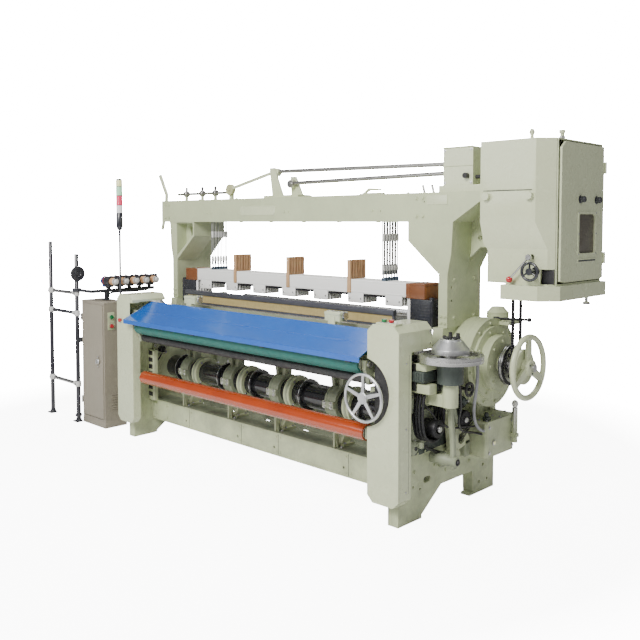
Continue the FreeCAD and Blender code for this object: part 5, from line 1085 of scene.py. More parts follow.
# ---------------------------------------------------------------- rapier drive on the right frame
def right_drive():
    """Guide stack, belts, oil lines, levers and fittings on the outside of the right frame, over a dark plate
    that paints the shadow behind them.
    """
    green, dark, iron, cream, bright, rubber = [], [], [], [], [], []
    green += [block(1200, 1312, 64, 206, 779, 815, 4, 10, "z"),
              block(1200, 1330, 70, 134, 667, 716, 4, 8, "x")]
    dark += [block(1200, 1306, 58, 208, 722, 777, 3, 8, "x")]
    dark += [block(1210 + 15 * i, 1217 + 15 * i, 54, 211, 726, 773, 1.5, 4, "x") for i in range(7)]
    dark += [block(1258, 1316, 132, 168, 672, 700, 3, 6, "x")]
    # domed hub and its flange
    dark.append(turned([(52, 1200), (52, 1212), (44, 1216), (44, 1262), (40, 1278), (28, 1292), (14, 1300),
                        (14, 1312), (10, 1316)],
                       (0, 262, 700), "x", 36))
    iron.append(hex_screws([(1212, 262 + 46 * math.cos(a),
                             700 + 46 * math.sin(a)) for a in np.arange(6) * TAU / 6 + 0.3], "x", 5, 5))
    # belts from the guide stack round the low guide
    for i in range(4):
        x = 1216 + 19 * i
        iron.append(pipe([(x, 112, 664), (x, 98, 600), (x, 96, 520), (x, 118, 446), (x, 176, 412),
                          (x, 230, 418), (x, 262, 452), (x, 272, 520), (x, 268, 600)],
                         7.5, 8, 54))
    iron.append(ring(slab_section(20, 46, 1206, 1292, 5), (0, 206, 470), "x", 36))
    bright.append(turned([(16, 1200), (16, 1300), (12, 1304)], (0, 206, 470), "x", 24))
    cream.append(block(1200, 1216, 90, 320, 392, 560, 4, 30, "x"))
    # tall cast lever with a rounded head
    head = [(216, 700), (222, 716), (236, 722), (250, 716), (257, 700), (253, 640), (262, 560), (272, 500),
            (284, 420), (292, 300),
            (296, 262), (262, 262), (262, 300), (258, 420), (244, 500), (236, 560), (226, 640)]
    cream.append(plate(head, 1318, 1342, "x", 5, 8))
    cream.append(turned([(24, 1308), (26, 1312), (26, 1348), (22, 1352)], (0, 240, 600), "x", 28))
    cream.append(turned([(30, 1200), (30, 1300), (26, 1306), (26, 1352), (20, 1356)], (0, 276, 300), "x", 30))
    iron.append(hex_screws([(1352, 240, 600), (1356, 276, 300)], "x", 11, 9))
    bright.append(turned([(11, 1300), (11, 1366), (8, 1369)], (0, 236, 694), "x", 20))
    # second lever and link to the sector
    cream.append(plate([(318, 620), (336, 640), (356, 624), (366, 560), (392, 470), (372, 462), (340, 540),
                        (322, 590)], 1262, 1284, "x", 4, 7))
    bright.append(turned([(13, 1254), (13, 1290), (10, 1294)], (0, 350, 568), "x", 20))
    bright.append(turned([(12, 1256), (12, 1296), (9, 1300)], (0, 338, 618), "x", 20))
    bright.append(pipe([(1304, 338, 618), (1304, 258, 664)], 6.5, 12, straight=True))
    iron.append(coil((1276, 420, 372), (1276, 520, 452), 11, 1.8, 15))
    iron.append(pipe([(1276, 420, 372), (1276, 404, 360)], 2.2, 8, straight=True))
    iron.append(pipe([(1276, 520, 452), (1276, 534, 466), (1264, 540, 480)], 2.2, 8))
    # cylinder under the wheel, black ring and hoses
    bright.append(turned([(10, 694), (17, 698), (17, 762), (14, 766), (14, 800), (10, 806)], (1352, 292, 0),
                         "z", 26))
    dark.append(block(1296, 1352, 280, 304, 706, 730, 3, 5, "x"))
    rubber.append(ring(round_section(31, 8), (1346, 392, 650), "x", 40))
    rubber.append(turned([(9, 1206), (9, 1356), (6, 1360)], (0, 392, 650), "x", 18))
    rubber += [pipe([(1352, 292, 694), (1350, 306, 640), (1336, 330, 560), (1310, 352, 480),
                     (1290, 420, 420), (1290, 520, 392), (1320, 560, 380)], 6, 10, 60),
               pipe([(1230, 150, 604), (1262, 176, 560), (1280, 222, 500), (1290, 330, 452),
                     (1290, 430, 440), (1296, 556, 420)], 5, 10, 60),
               pipe([(1210, 330, 690), (1213, 360, 640), (1213, 410, 560), (1213, 500, 500),
                     (1211, 560, 470)], 5, 10, 50)]
    # low boss, rod and brackets on the frame
    cream.append(turned([(36, 1200), (36, 1226), (28, 1234), (14, 1238)], (0, 88, 386), "x", 32))
    iron.append(hex_screws([(1236, 88, 386)], "x", 10, 8))
    iron.append(pipe([(1240, 128, 396), (1240, 320, 306)], 8, 12, straight=True))
    cream += [block(1200, 1252, 116, 140, 380, 410, 4, 6, "x"),
              block(1200, 1252, 306, 332, 292, 322, 4, 6, "x")]
    cream.append(plate([(336, 230), (470, 230), (486, 262), (470, 286), (336, 286), (322, 260)], 1200, 1218,
                       "x", 4, 10))
    cream.append(plate([(420, 520), (530, 520), (548, 548), (540, 600), (500, 620), (436, 600), (412, 560)],
                       1200, 1220, "x", 4, 12))
    cream.append(plate([(64, 560), (88, 560), (92, 640), (84, 664), (66, 660)], 1200, 1224, "x", 4, 8))
    dark.append(turned([(22, 1218), (26, 1222), (26, 1262), (20, 1268)], (0, 484, 566), "x", 28))
    iron.append(gear((0, 484, 566), "x", 40, 7, 22, 1232, 1250))
    bright.append(turned([(9, 1264), (9, 1282), (7, 1284)], (0, 484, 566), "x", 16))
    iron.append(gear((0, 456, 470), "x", 46, 7, 26, 1262, 1284))
    bright.append(turned([(15, 1200), (15, 1290), (12, 1293)], (0, 456, 470), "x", 22))
    # oil pots and small valves beside the gear case
    cream.append(block(1200, 1252, 500, 552, 256, 348, 5, 8, "x"))
    bright.append(turned([(7, 348), (11, 352), (11, 372), (5, 378)], (1228, 526, 0), "z", 16))
    dark.append(block(1312, 1342, 570, 606, 451, 470, 3, 5, "z"))
    dark.append(turned([(9, 470), (11, 472), (11, 490), (7, 494)], (1326, 588, 0), "z", 18))
    # Dark plate on the frame's outer face behind the drive: painted shadow of the machinery.
    shadow_plate = [plate([(57, 345), (57, 842), (250, 842), (392, 700), (420, 560), (548, 540), (548, 352),
                      (300, 340), (180, 330)], 1199.6, 1203.4, "x", 1.2, 14)]
    piece("right_drive_painted_shadow_plate", shadow_plate, GREEN_BLACK)
    piece("right_guide_stack", green, CASTING)
    # The cream drive castings take the painted shade enamel.
    piece("right_drive_castings", cream, SHADED)
    piece("right_drive_dark_parts", dark, GREEN_BLACK)
    piece("right_drive_iron", iron, IRON)
    piece("right_drive_pins", bright, STEEL)
    piece("right_drive_hoses", rubber, CABLE)
    bolts = [(1200, y, z) for y, z in ((40, 640), (40, 460), (40, 300), (150, 340), (212, 340), (560, 520),
                                       (600, 500), (840, 640), (840, 520),
                                       (840, 420), (340, 660), (420, 660), (520, 300), (130, 250),
                                       (300, 250), (400, 200), (620, 200), (700, 220))]
    both = hex_screws(bolts, "x", 8, 6)
    piece("frame_bolts", [both, mirrored(both)], CASTING)
    steel = [hex_screws([(1218, y, z) for y, z in ((350, 258), (452, 258), (436, 540), (520, 600), (80, 576),
                                                   (78, 646))], "x", 7, 6),
             hex_screws([(1216, y, z) for y, z in ((108, 410), (302, 410), (108, 542), (302, 542))], "x", 8,
                        7),
             cap_screws([(x, y, 815) for x in (1224, 1290) for y in (80, 190)], "z", 6, 5)]
    piece("right_drive_screws", steel, STEEL)


def rapier_wheel_tops():
    """Ribbed bright collars and two black adjusters over each wheel, and spoke bosses."""
    for side, y, body in ((1, 172.0, "right"), (-1, 330.0, "left")):
        x = 1380.0 * side
        ribs = []
        for i in range(8):
            a = TAU * i / 8 + 0.2
            rib = plate([(40, 886), (88, 868), (90, 878), (58, 930), (40, 932)], -3.5, 3.5, "y", 1.5, 3)
            ribs.append(moved(tilted(rib, "z", math.degrees(a), (0, 0, 0)), x, y, 0))
        ribs.append(ring(slab_section(34, 52, 928, 937, 2), (x, y, 0), "z", 32))
        piece(f"{body}_dome_ribs", ribs, WHEEL_METAL)
        tops = [turned([(9.4, 930), (12, 934), (12, 944), (9.4, 947), (9.4, 960), (6, 963)],
                       (x + dx, y + 30, 0), "z", 18) for dx in (-22, 22)]
        tops += [turned([(7, 936), (10, 938), (10, 948), (6, 951)], (x + dx, y + dy, 0), "z", 14) for dx,
                 dy in ((0, -30), (30, -8), (-30, -8))]
        piece(f"{body}_dome_adjusters", tops, RUBBER)
        rim = [ring(slab_section(131, 160.4, 840, 850, 2), (x, y, 0), "z", 96)]
        rim.append(hex_screws([(x + 147 * math.cos(a), y + 147 * math.sin(a),
                                862) for a in np.arange(18) * TAU / 18], "z", 4, 2.4))
        piece(f"{body}_rapier_rim", rim, STEEL, f"rapier_{body}")
        bar = [hex_screws([(x - side * dx, y + dy, 893) for dx, dy in ((110, 128), (70, 96), (128, 164))],
                          "z", 6, 5)]
        piece(f"{body}_bridge_screws", bar, STEEL)


def drive_cover_details():
    """Flange screws, ribs, chain guard, knob and oil glass on the main drive."""
    y, z = 635.0, 755.0
    screws = [hex_screws([(1330, y + 214 * math.cos(a),
                           z + 214 * math.sin(a)) for a in np.arange(12) * TAU / 12 + 0.13], "x", 8, 7),
              hex_screws([(1344, y + 172 * math.cos(a),
                           z + 172 * math.sin(a)) for a in np.arange(8) * TAU / 8 + 0.3], "x", 7, 6),
              hex_screws([(1390, y + 120 * math.cos(a),
                           z + 120 * math.sin(a)) for a in np.arange(8) * TAU / 8], "x", 7, 6)]
    piece("drive_cover_screws", screws, CASTING)
    rings = [ring(slab_section(224, 236.2, 1262, 1276, 3), (0, y, z), "x", 96),
             ring(slab_section(140, 151.5, 1360, 1368, 2), (0, y, z), "x", 72)]
    piece("drive_cover_flanges", rings, CASTING)
    iron = [turned([(60, 1399), (70, 1402), (70, 1412), (58, 1416)], (0, y, z), "x", 40),
            gear((0, y, z), "x", 30, 4, 18, 1466, 1474)]
    piece("drive_sprocket", [iron[1]], IRON, "main_drive")
    piece("drive_bearing_ring", [iron[0]], IRON)
    wheel = [ring(slab_section(50, 74, 1506, 1513, 2), (0, y, z), "x", 48)]
    wheel.append(hex_screws([(1561, y + 30 * math.cos(a),
                              z + 30 * math.sin(a)) for a in np.arange(3) * TAU / 3 + 0.5], "x", 5, 5))
    piece("handwheel_hub_parts", wheel, GREEN_BLACK, "main_drive")
    disc = [ring(slab_section(88, 105, 1424.5, 1428.5, 1), (0, y, z), "x", 64),
            ring(slab_section(88, 105, 1445, 1449.5, 1), (0, y, z), "x", 64)]
    disc.append(hex_screws([(1449, y + 62 * math.cos(a),
                             z + 62 * math.sin(a)) for a in np.arange(6) * TAU / 6], "x", 7, 6))
    piece("pulley_flanges", disc, IRON, "main_drive")
    case = [hex_screws([(x, yy, 451) for x in (1236, 1296, 1342) for yy in (564, 694, 824)], "z", 7, 6),
            hex_screws([(1350, yy, zz) for yy in (580, 810) for zz in (280, 416)], "x", 7, 6),
            turned([(13, 1348), (15, 1350), (15, 1356), (11, 1358)], (0, 620, 330), "x", 24)]
    piece("gear_case_screws", case, STEEL)
    knob = [turned([(6, 490), (8, 492), (15, 498), (18, 510), (15, 524), (8, 530), (4, 532)], (1372, 800, 0),
                   "z", 24)]
    piece("sensor_knob", knob, CLAMP_WHITE)
    # The oil glass takes the yellow lens finish and glows faintly though it is no lamp: painted light.
    piece("gear_case_glass_painted_glow", [turned([(10, 1356), (10, 1358.6), (8, 1359.4)], (0, 620, 330), "x", 24)],
          LENS_YELLOW)
    dome = [ring(slab_section(58, 61.6, 1001, 1007, 1), (1261, 795, 0), "z", 48),
            hex_screws([(1220, 795, 969), (1350, 700, 969), (1350, 820, 969)], "z", 7, 6)]
    piece("dome_fittings", dome, CASTING)
    bar = [pipe([(1300, 712, 980), (1500, 707, 990)], 7, 12, straight=True),
           block(1290, 1316, 700, 724, 968, 990, 3, 4, "z"),
           turned([(9, 1494), (12, 1497), (12, 1508), (8, 1511)], (0, 707, 990), "x", 18)]
    piece("brake_bar", bar, IRON)


right_drive()
rapier_wheel_tops()
drive_cover_details()


# Painted shade on the inner faces of the front rail and on the rear girder.
also("cross_members", SHADED, lambda x, y, z: (y > 151 and z < 262 and y < 320) or y > 599)
for side in ("right", "left"):
    also(f"side_frame_{side}", RUBBER, lambda x, y,
         z: z > 40 and (abs(abs(x) - 1180) < 1 or abs(abs(x) - 1170) < 1))


# ---------------------------------------------------------------- left frame
def left_drive():
    """Castings, guide stack, hub and oil lines outside the left frame, partly behind its cover."""
    green = [block(1200, 1312, 222, 364, 779, 815, 4, 10, "z"),
             block(1200, 1330, 228, 292, 667, 716, 4, 8, "x")]
    dark = [block(1200, 1306, 216, 366, 722, 777, 3, 8, "x")] + [block(1210 + 15 * i, 1217 + 15 * i, 212,
        369, 726, 773, 1.5, 4, "x") for i in range(7)]
    dark += [turned([(52, 1200), (52, 1212), (44, 1216), (44, 1262), (28, 1288), (12, 1296)], (0, 430, 690),
                    "x", 36)]
    cream = [turned([(64, 1200), (64, 1222), (54, 1232), (40, 1236), (40, 1262), (30, 1270)], (0, 640, 700),
                    "x", 48),
             turned([(44, 1200), (44, 1216), (36, 1224), (22, 1228)], (0, 350, 457), "x", 36),
             block(1200, 1222, 520, 780, 320, 520, 5, 24, "x"),
             block(1200, 1216, 400, 470, 250, 330, 4, 12, "x"),
             plate([(216, 640), (250, 640), (262, 520), (300, 430), (272, 420), (232, 500)], 1226, 1250, "x",
                   4, 8),
             turned([(26, 1200), (26, 1254), (20, 1260)], (0, 284, 426), "x", 28)]
    iron = [hex_screws([(1222, y, z) for y in (540, 760) for z in (340, 500)] + [(1260, 284, 426)], "x", 8,
                       7),
            hex_screws([(1222, 640 + 54 * math.cos(a),
                         700 + 54 * math.sin(a)) for a in np.arange(6) * TAU / 6 + 0.5], "x", 6, 6),
            coil((1236, 480, 372), (1236, 560, 300), 11, 1.8, 13)]
    hoses = [pipe([(1240, 560, 690), (1262, 600, 620), (1262, 640, 560), (1240, 660, 520), (1216, 664, 480)],
                  6, 10, 50),
             pipe([(1216, 250, 667), (1240, 240, 560), (1244, 262, 460), (1220, 330, 380), (1210, 420, 320)],
                  5, 10, 50)]
    for name, shapes, coat in (("left_guide_stack", green, CASTING),
                               ("left_drive_dark_parts", dark, GREEN_BLACK),
                               ("left_drive_castings", cream, CASTING), ("left_drive_iron", iron, IRON),
                               ("left_drive_hoses", hoses, CABLE)):
        piece(name, [mirrored(s) for s in shapes], coat)


def inner_frame_parts():
    """Bosses, pipes, brackets and boxes on the inner faces of both side frames."""
    cream, dark, steel = [], [], []
    cream += [block(1110, 1138, 150, 260, 560, 640, 4, 10, "x"),
              block(1112, 1138, 120, 180, 330, 430, 4, 10, "x"),
              block(1106, 1138, 420, 560, 560, 640, 4, 14, "x"),
              block(1100, 1138, 700, 820, 420, 520, 4, 14, "x"),
              plate([(230, 300), (420, 260), (560, 300), (560, 330), (420, 296), (230, 336)], 1116, 1138,
                    "x", 4, 8)]
    dark += [turned([(18, 1074), (22, 1078), (22, 1112)], (0, 205, 600), "x", 28),
             turned([(26, 1068), (30, 1072), (30, 1104)], (0, 490, 600), "x", 28),
             block(1096, 1138, 262, 300, 610, 668, 3, 5, "z"),
             block(1100, 1138, 640, 690, 600, 660, 3, 5, "z")]
    steel += [hex_screws([(1110, y, z) for y, z in ((162, 572), (248, 572), (162, 628), (248, 628))], "x", 7,
                         6, -1),
              hex_screws([(1106, y, z) for y, z in ((434, 574), (546, 574), (434, 626), (546, 626))], "x", 7,
                         6, -1),
              hex_screws([(1100, y, z) for y, z in ((714, 434), (806, 434), (714, 506), (806, 506))], "x", 7,
                         6, -1),
              turned([(8, 1086), (10, 1088), (10, 1114)], (0, 150, 380), "x", 18)]
    pipes = [pipe([(1118, 205, 600), (1112, 250, 700), (1116, 330, 780), (1122, 420, 840), (1124, 470, 900)],
                  5, 10, 50),
             pipe([(1120, 140, 430), (1112, 160, 500), (1112, 200, 540), (1118, 262, 640)], 4, 10, 40),
             pipe([(1124, 560, 620), (1112, 620, 580), (1114, 700, 500), (1122, 720, 470)], 5, 10, 40)]
    # The inner frame castings take the painted shade enamel.
    piece("inner_frame_castings", both_sides(cream), SHADED)
    piece("inner_frame_dark_parts", both_sides(dark), IRON)
    piece("inner_frame_screws", both_sides(steel), STEEL)
    piece("inner_frame_pipes", both_sides(pipes), CABLE)


def sley_details():
    """Clamp screws, stiffening ribs and joints of the swords and shaft bearings."""
    iron, steel = [], []
    for x in (-900, -430, 20, 500, 900):
        iron.append(hex_screws([(x + dx, 234, 457 + dz) for dx in (-26, 26) for dz in (-12, 12)], "y", 6.5,
                               8, -1))
        steel.append(hex_screws([(x + dx, 285, 864) for dx in (-84, 84)], "y", 6, 6, -1))
    piece("sword_screws", iron + steel, STEEL, "sley")
    ribs = []
    for x in (-900, -430, 20, 500, 900):
        ribs.append(ring(slab_section(97, 101, x - 42, x - 30, 2), (0, 350, 457), "x", 56))
        ribs.append(ring(slab_section(97, 101, x + 30, x + 42, 2), (0, 350, 457), "x", 56))
    # Painted shade, like the swords they sit on.
    piece("sword_clamp_rims", ribs, SHADED, "sley")
    rails = [block(-929, 929, 268, 276, 905, 913, 1.5, 2, "x"),
             block(-929, 929, 355, 366, 925, 934.5, 1.5, 2, "x")]
    piece("race_board", [block(-929, 929, 268, 299, 934, 937.5, 1, 1.5, "x")], WHEEL_METAL, "sley")
    # Painted shade, like the sley beam.
    piece("sley_beam_edges", rails, SHADED, "sley")
    piece("sley_beam_screws", [hex_screws([(x, 278, 892) for x in range(-880, 900, 160)], "y", 5.5, 5, -1)],
          STEEL, "sley")
    grip = [ring(slab_section(92, 96, x - 0.5, x + 4, 1), (0, 350, 457), "x", 56) for x in (-1010, -540,
        -215, 235, 700)]
    grip.append(hex_screws([(x + 8, 350, 457 + 94) for x in (-1010, -540, -215, 235, 700)], "z", 6, 5))
    piece("collar_lips", grip, STEEL, "sley")
    caps, bolts = [], []
    for x in (-780, -300, 140, 620):
        caps.append(ring(slab_section(82, 106.5, x - 8, x + 8, 2), (0, 350, 457), "x", 56))
        bolts.append(hex_screws([(x + dx, 222, 266) for dx in (-27, 27)] + [(x + dx, 280,
            266) for dx in (-27, 27)], "z", 7, 7))
        bolts.append(hex_screws([(x + 25, 350 + 90 * math.cos(a), 457 + 90 * math.sin(a)) for a in (0.6, 2.2,
            3.9, 5.4)], "x", 6, 5))
        bolts.append(hex_screws([(x - 25, 350 + 90 * math.cos(a), 457 + 90 * math.sin(a)) for a in (0.6, 2.2,
            3.9, 5.4)], "x", 6, 5, -1))
    piece("shaft_bearing_seams", caps, SHADED)
    piece("shaft_bearing_bolts", bolts, STEEL)


def front_details():
    """Black handwheel well plate as painted shade in the recess, rail seams and bolts, stays under the cloth
    roller, breast clips, temples.
    """
    # The black plate at the back of the handwheel well is painted shade inside the recess.
    arc = [(1013 + 172 * math.cos(a), 660 + 172 * math.sin(a)) for a in np.linspace(-1.34, 1.34, 40)]
    well = [plate(arc, -6, -3.4, "y", 0.5, 0.5)]
    piece("handwheel_well_painted_shade", well, RUBBER)
    boss = [turned([(26, -108.5), (29, -106.5), (30, -98), (20, -96)], (1056, 0, 640), "y", 30),
            hex_screws([(1056, -108, 640)], "y", 9, 3.2, -1)]
    piece("handwheel_boss", boss, WHEEL_METAL, "take_up_wheel")
    # seams, studs and hole rims of the front rail
    rails = [ring(round_section(8.5, 1.6), (x, 149.6, 158), "y", 24) for x in (-735, -196, 142, 703)]
    rails += [hex_screws([(x, 150, z) for x in (-1090, -960, 1000, 1090) for z in (140, 222)], "y", 8, 7, -1)]
    rails += [hex_screws([(x + dx, 150, z) for x in (-700, -161, 177, 738) for dx in (-16, 18) for z in (136,
        224)], "y", 5, 4, -1)]
    piece("front_rail_studs", rails, CASTING)
    piece("front_rail_seams", [block(x, x + 2.6, 149.2, 151, 112, 248, 0.3, 0.5, "z") for x in (-701, -162,
        176, 737)], RUBBER)
    edge = [block(-1133, 1133, 146.5, 152, z, z + 9, 2, 2, "x") for z in (241, 110)]
    piece("front_rail_lips", edge, CASTING)
    stays, pins = [], []
    for x in (-780, -300, 140, 620):
        stays += [block(x - 7, x + 7, 158, 196, 250, 352, 3, 4, "z"),
                  plate([(x - 18, 250), (x + 18, 250), (x + 8, 300), (x - 8, 300)], 172, 182, "y", 2, 3)]
        pins += [turned([(9, x - 16), (11, x - 13), (11, x + 13), (9, x + 16)], (0, 177, 356), "x", 20),
                 turned([(5, x - 22), (5, x + 22)], (0, 177, 356), "x", 14)]
        pins.append(turned([(7, 250), (8, 252), (8, 262), (4, 266)], (x + 44, 176, 0), "z", 14))
    piece("rail_stays", stays, CASTING)
    piece("rail_stay_pins", pins, STEEL)
    # breast beam: cloth support bars and clips
    clips = [block(x - 16, x + 16, -109, -84, 806, 818, 2, 4, "x") for x in (-960, -320, 320, 960)]
    clips += [block(x - 12, x + 12, 98, 106, 900, 936, 2, 3, "x") for x in range(-900, 1000, 300)]
    piece("breast_clips", clips, RUBBER)
    fold = [block(-1076, 1038, -1.4, 2.2, 888.5, 891, 0.8, 1, "x"),
            block(-1076, 1038, -111.8, -105, 812.5, 822, 1.6, 2, "x")]
    piece("breast_cover_lips", fold, BLUE)
    piece("breast_end_guard", [plate([(-108, 815), (-108, 841), (0, 891), (100, 949), (103, 949), (103, 912),
                                      (60, 880), (40, 866), (-30, 864), (-80, 816)],
                                     -1084.6, -1080.2, "x", 0.8, 4)], PALE_BLUE)
    bars = [turned([(8, -1040), (9, -1036), (9, 1036), (8, 1040)], (0, 66, 770), "x", 18)]
    piece("cloth_guide_bars", bars, BAR_STEEL)
    ties = [block(994, 1012, 30, 80, 752, 788, 3, 5, "x"), block(1060, 1135, 112, 150, 250, 600, 4, 6, "z")]
    # Thin black blocks on the bracket face stand for slots: painted shade inside the openings.
    slots = [block(1074, 1120, 110.6, 114, z, z + 30, 0.8, 3) for z in range(280, 580, 48)]
    piece("frame_bracket_slot_shade", both_sides(slots), RUBBER)
    piece("guide_bar_ends", both_sides(ties), CASTING)
    collars = []
    for y, z, r in ((-25, 795, 55), (0, 712, 25), (0, 440, 43)):
        collars.append(turned([(r * 0.72, 998), (r * 0.8, 1000), (r * 0.8, 1003), (16, 1006), (16, 1008)],
                              (0, y, z), "x", 32))
        collars.append(turned([(15, 1030), (19, 1032), (19, 1042), (12, 1046)], (0, y, z), "x", 24))
    piece("roller_end_collars", both_sides(collars), STEEL)
    jaws = []
    for x in (-645, 645):
        jaws += [turned([(20, x - 70), (24, x - 66), (24, x - 10), (20, x - 6)], (0, 155, 990), "x", 28),
                 turned([(20, x + 6), (24, x + 10), (24, x + 66), (20, x + 70)], (0, 155, 990), "x", 28)]
        jaws += [ring(slab_section(20, 26, x + dx, x + dx + 5, 1), (0, 155, 990), "x", 28) for dx in (-60,
            -46, -32, 24, 38, 52)]
    piece("temple_rings", jaws, STEEL)
    heads = [block(x - 60, x + 60, 112, 188, 994, 1012, 5, 12, "z") for x in (-645, 645)]
    heads.append(cap_screws([(x + dx, 150, 1012) for x in (-645, 645) for dx in (-44, 44)], "z", 6, 4))
    piece("temple_caps", heads, SHEET)
    # small switch parts on the right cover
    rims = [ring(slab_section(13.8, 17, 1010.6, 1013.4, 0.8), (x, -20, 0), "z", 28) for x in (1124, 1168)]
    piece("switch_panel_rims", rims, WHEEL_METAL)
    piece("switch_panel_lamp", [turned([(8, 1010), (9, 1012), (8, 1019), (4, 1021)], (1196, -20, 0), "z",
                                       20)], WHITE_CAP)
    seams = [block(1242, 1246.3, y, y + 2.4, 180, 860, 0.4, 0.8, "z") for y in (20,)]
    piece("cover_seams", seams + [mirrored(s) for s in seams], RUBBER)
    heads = cap_screws([(1246, y, z) for y, z in ((0, 190), (0, 500), (0, 820), (190, 900), (190, 960))],
                       "x", 5.5, 3)
    piece("cover_screws", [moved(heads, -0.6), moved(mirrored(heads), 0.6)], STEEL)


def beam_details():
    """Raised plate frame, bolt pairs, joint plates, rear cover and cable clips of the top beam."""
    plates = [holed_plate([(-440, 1543), (-96, 1543), (-96, 1604), (-440, 1604)],
                          [(-434, 1549), (-102, 1549), (-102, 1598), (-434, 1598)], 382.4, 386, "y", 0.8, 3),
              block(-436, -100, 383.6, 386, 1547, 1600, 0.6, 3),
              block(1078, 1206, 382.6, 386, 1590, 1640, 1, 4)]
    piece("beam_plates", plates, SHEET)
    screws = [hex_screws([(x, 385, z) for x in (-1290, -1250, 1010, 1050) for z in (1530, 1625)], "y", 8, 7,
                         -1),
              hex_screws([(x, 385, 1562) for x in (-790, -752, -18, 20, 700, 760)], "y", 5.4, 4, -1),
              hex_screws([(x, y, 1655) for x in (-1300, -900, -500, 200, 600, 940) for y in (404, 540)], "z",
                         7, 6)]
    piece("beam_screws", screws, CASTING)
    rear = [block(-1020, -240, 563, 570, 1520, 1636, 2, 8), block(-180, 600, 563, 570, 1520, 1636, 2, 8)]
    rear.append(hex_screws([(x, 570, z) for x in (-1006, -254, -166, 586) for z in (1534, 1622)], "y", 5, 4))
    piece("beam_rear_covers", rear, SHEET)
    runs = [pipe([(-1040, 568, 1510), (-700, 572, 1506), (0, 570, 1509), (560, 572, 1506), (900, 568, 1511)],
                 6, 10, 90),
            pipe([(-1336, 470, 1596), (-1356, 470, 1560), (-1352, 474, 1480), (-1310, 500, 1420),
                  (-1240, 560, 1380), (-1215, 620, 1300), (-1212, 640, 1100), (-1212, 650, 960)], 6, 10, 120)]
    piece("beam_cables", runs, CABLE)
    clips = [block(x - 9, x + 9, 560, 582, 1496, 1518, 2, 3, "x") for x in range(-960, 900, 310)]
    piece("beam_cable_clips", clips, CLAMP_WHITE)
    columns = [hex_screws([(1210, 385 + y, z) for y in (60, 250) for z in (1000, 1200)] + [(1210, 425, 1300),
        (1210, 600, 1300)], "x", 8, 7),
               hex_screws([(x, 385, z) for x in (1170, 1195) for z in (975, 1010)], "y", 8, 7, -1)]
    piece("column_screws", both_sides(columns), CASTING)
    # warp stop rail and drop bars between the rear of the frames
    rail = [block(-1120, 1120, 700, 716, 930, 946, 2, 3, "x"),
            block(-1120, 1120, 784, 800, 930, 946, 2, 3, "x")]
    piece("warp_stop_rails", rail, BAR_STEEL)
    bars = [block(-1100, 1100, 722 + 10 * i, 725 + 10 * i, 936, 958, 0.8, 1, "x") for i in range(6)]
    piece("warp_stop_bars", bars, STEEL)
    ends = [block(1096, 1135, 692, 808, 918, 968, 4, 8, "x")]
    piece("warp_stop_ends", both_sides(ends), CASTING)
    blocks = [hex_screws([(1030, 905 + dy, 905 + dz) for dy in (-18, 20) for dz in (-18, 20)], "x", 6, 6)]
    piece("back_rest_screws", both_sides(blocks), STEEL)
    stiff = [block(-1130, 1130, 596.5, 601, 322, 331, 1.5, 2, "x")]
    stiff += [hex_screws([(x, 600, 290) for x in range(-1060, 1100, 370)], "y", 8, 7, -1),
              hex_screws([(x, 615, 290) for x in range(-1060, 1100, 370)], "y", 8, 7)]
    piece("girder_lip", stiff, CASTING)


def overhead_details():
    """Lever box seams, rod ends, pulley bolts and shaft levers above the beam."""
    parts = [turned([(14, -24), (15, -22), (15, 18), (14, 20)], (-204, 500, 1822), "y", 24),
             turned([(14, -24), (15, -22), (15, 18), (14, 20)], (-68, 500, 1742), "y", 24)]
    parts += [turned([(12.5, 0), (16, 2), (16, 30), (12.5, 32)], (1116, 500, z), "x", 20) for z in (1806,
        1758)]
    piece("rod_ends", parts, STEEL)
    box = [block(1146, 1331, 427.5, 431, 1880, 1887, 1, 1.2, "x"),
           block(1146, 1331, 427.5, 431, 1786, 1789, 0.8, 1, "x")]
    box.append(hex_screws([(x, 430, z) for x in (1158, 1318) for z in (1702, 1870)], "y", 5, 4, -1))
    box.append(hex_screws([(x, y, 1885) for x in (1160, 1316) for y in (444, 586)], "z", 5, 4))
    piece("lever_box_lips", box[:2], CASTING)
    piece("lever_box_screws", box[2:], STEEL)
    levers = []
    for x in (-1200, -1010, -860):
        levers.append(turned([(21, x), (22, x + 2), (22, x + 24), (18, x + 28)], (0, 500, 1704), "x", 24))
        levers.append(plate([(494, 1700), (506, 1700), (512, 1748), (500, 1756), (490, 1748)], x + 8, x + 16,
                            "x", 2, 3))
    piece("cross_shaft_levers", levers, BAR_STEEL)
    piece("pulley_bolt", [hex_screws([(-671, 480, 1722)], "y", 9, 7, -1),
                          ring(slab_section(36, 39, 480, 484, 1), (-671, 0, 1722), "y", 40),
                          ring(slab_section(36, 39, 502, 506, 1), (-671, 0, 1722), "y", 40)], PULLEY_GREEN)


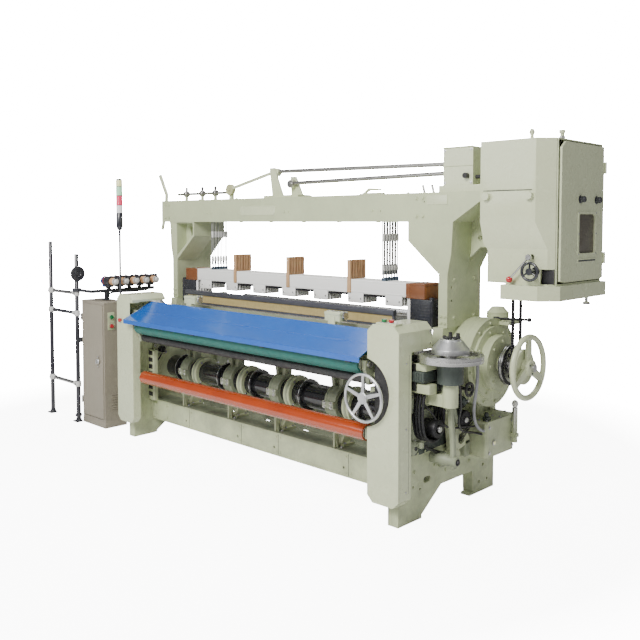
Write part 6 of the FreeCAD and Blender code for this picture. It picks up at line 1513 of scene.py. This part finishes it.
def cabinet_details():
    """Latch, hinges, top seam, chamfered base, side vents, cable glands and nameless button plate."""
    x0, x1, y0, y1 = -1780.0, -1466.0, -33.0, 145.0
    base = [plate([(x0 - 1, y0 - 2), (x1 + 1, y0 - 2), (x1 + 1, y1 + 1), (x0 - 1, y1 + 1)], 0, 48, "z", 6, 4)]
    base += [plate([(x0 - 1.5, y0 - 2), (x1 + 1.5, y0 - 2), (x1 + 1.5, y1 + 1), (x0 - 1.5, y1 + 1)], 908,
                   921.5, "z", 3, 6)]
    piece("cabinet_base_and_lid", base, TAUPE)
    latch = [turned([(17, -47.6), (18.4, -49), (18.4, -54), (14, -58)], (-1529, 0, 489), "y", 28),
             block(-1534, -1524, -68, -57, 472, 506, 2, 3, "z"),
             turned([(4, -48), (6, -50), (6, -54), (3, -56)], (-1529, 0, 454), "y", 14),
             turned([(4, -48), (6, -50), (6, -54), (3, -56)], (-1529, 0, 524), "y", 14)]
    piece("cabinet_lock", latch[:2], WHEEL_METAL, "cabinet_door_latch")
    piece("cabinet_lock_rivets", latch[2:], STEEL, "cabinet_front_door")
    slots = [plate([(20, z), (110, z), (110, z + 7), (20, z + 7)], -1466.8, -1462, "x", 1.4,
                   3) for z in range(130, 250, 18)]
    slots += [moved(s, -316) for s in slots]
    piece("cabinet_side_vents", slots, TAUPE)
    plinth = [block(-1467, -1463.4, -4, 52, 716, 846, 1.2, 6, "x")]
    rims = [ring(slab_section(13.8, 17, -1464, -1461, 0.8), (0, 24, z), "x", 28) for z in (812, 746)]
    piece("cabinet_button_plate", plinth, CASTING)
    piece("cabinet_button_rims", rims, WHEEL_METAL)
    gland = [turned([(14, -1466), (16, -1464), (16, -1452), (11, -1446)], (0, 100, z), "x",
                    20) for z in (240, 210)]
    piece("cabinet_glands", gland, RUBBER)
    leads = [pipe([(-1450, 100, z), (-1400, 102, z - 10), (-1320, 110, z - 40), (-1240, 130, z - 30),
                   (-1202, 150, z)], 7, 12, 60) for z in (240, 210)]
    piece("cabinet_cables", leads, CABLE)
    rear = [block(-1760, -1486, 143.5, 147.5, 80, 890, 1.5, 8),
            hex_screws([(x, 147, z) for x in (-1748, -1498) for z in (100, 480, 870)], "y", 5, 4)]
    piece("cabinet_rear_panel", rear[:1], TAUPE)
    piece("cabinet_rear_screws", rear[1:], STEEL)
    pins = [turned([(5, z), (6.4, z + 1), (6.4, z + 49), (5, z + 50)], (-1775, -41, 0), "z",
                   16) for z in (150, 770)]
    piece("cabinet_hinge_barrels", pins, STEEL)


left_drive()
inner_frame_parts()
sley_details()
front_details()
beam_details()
overhead_details()
cabinet_details()
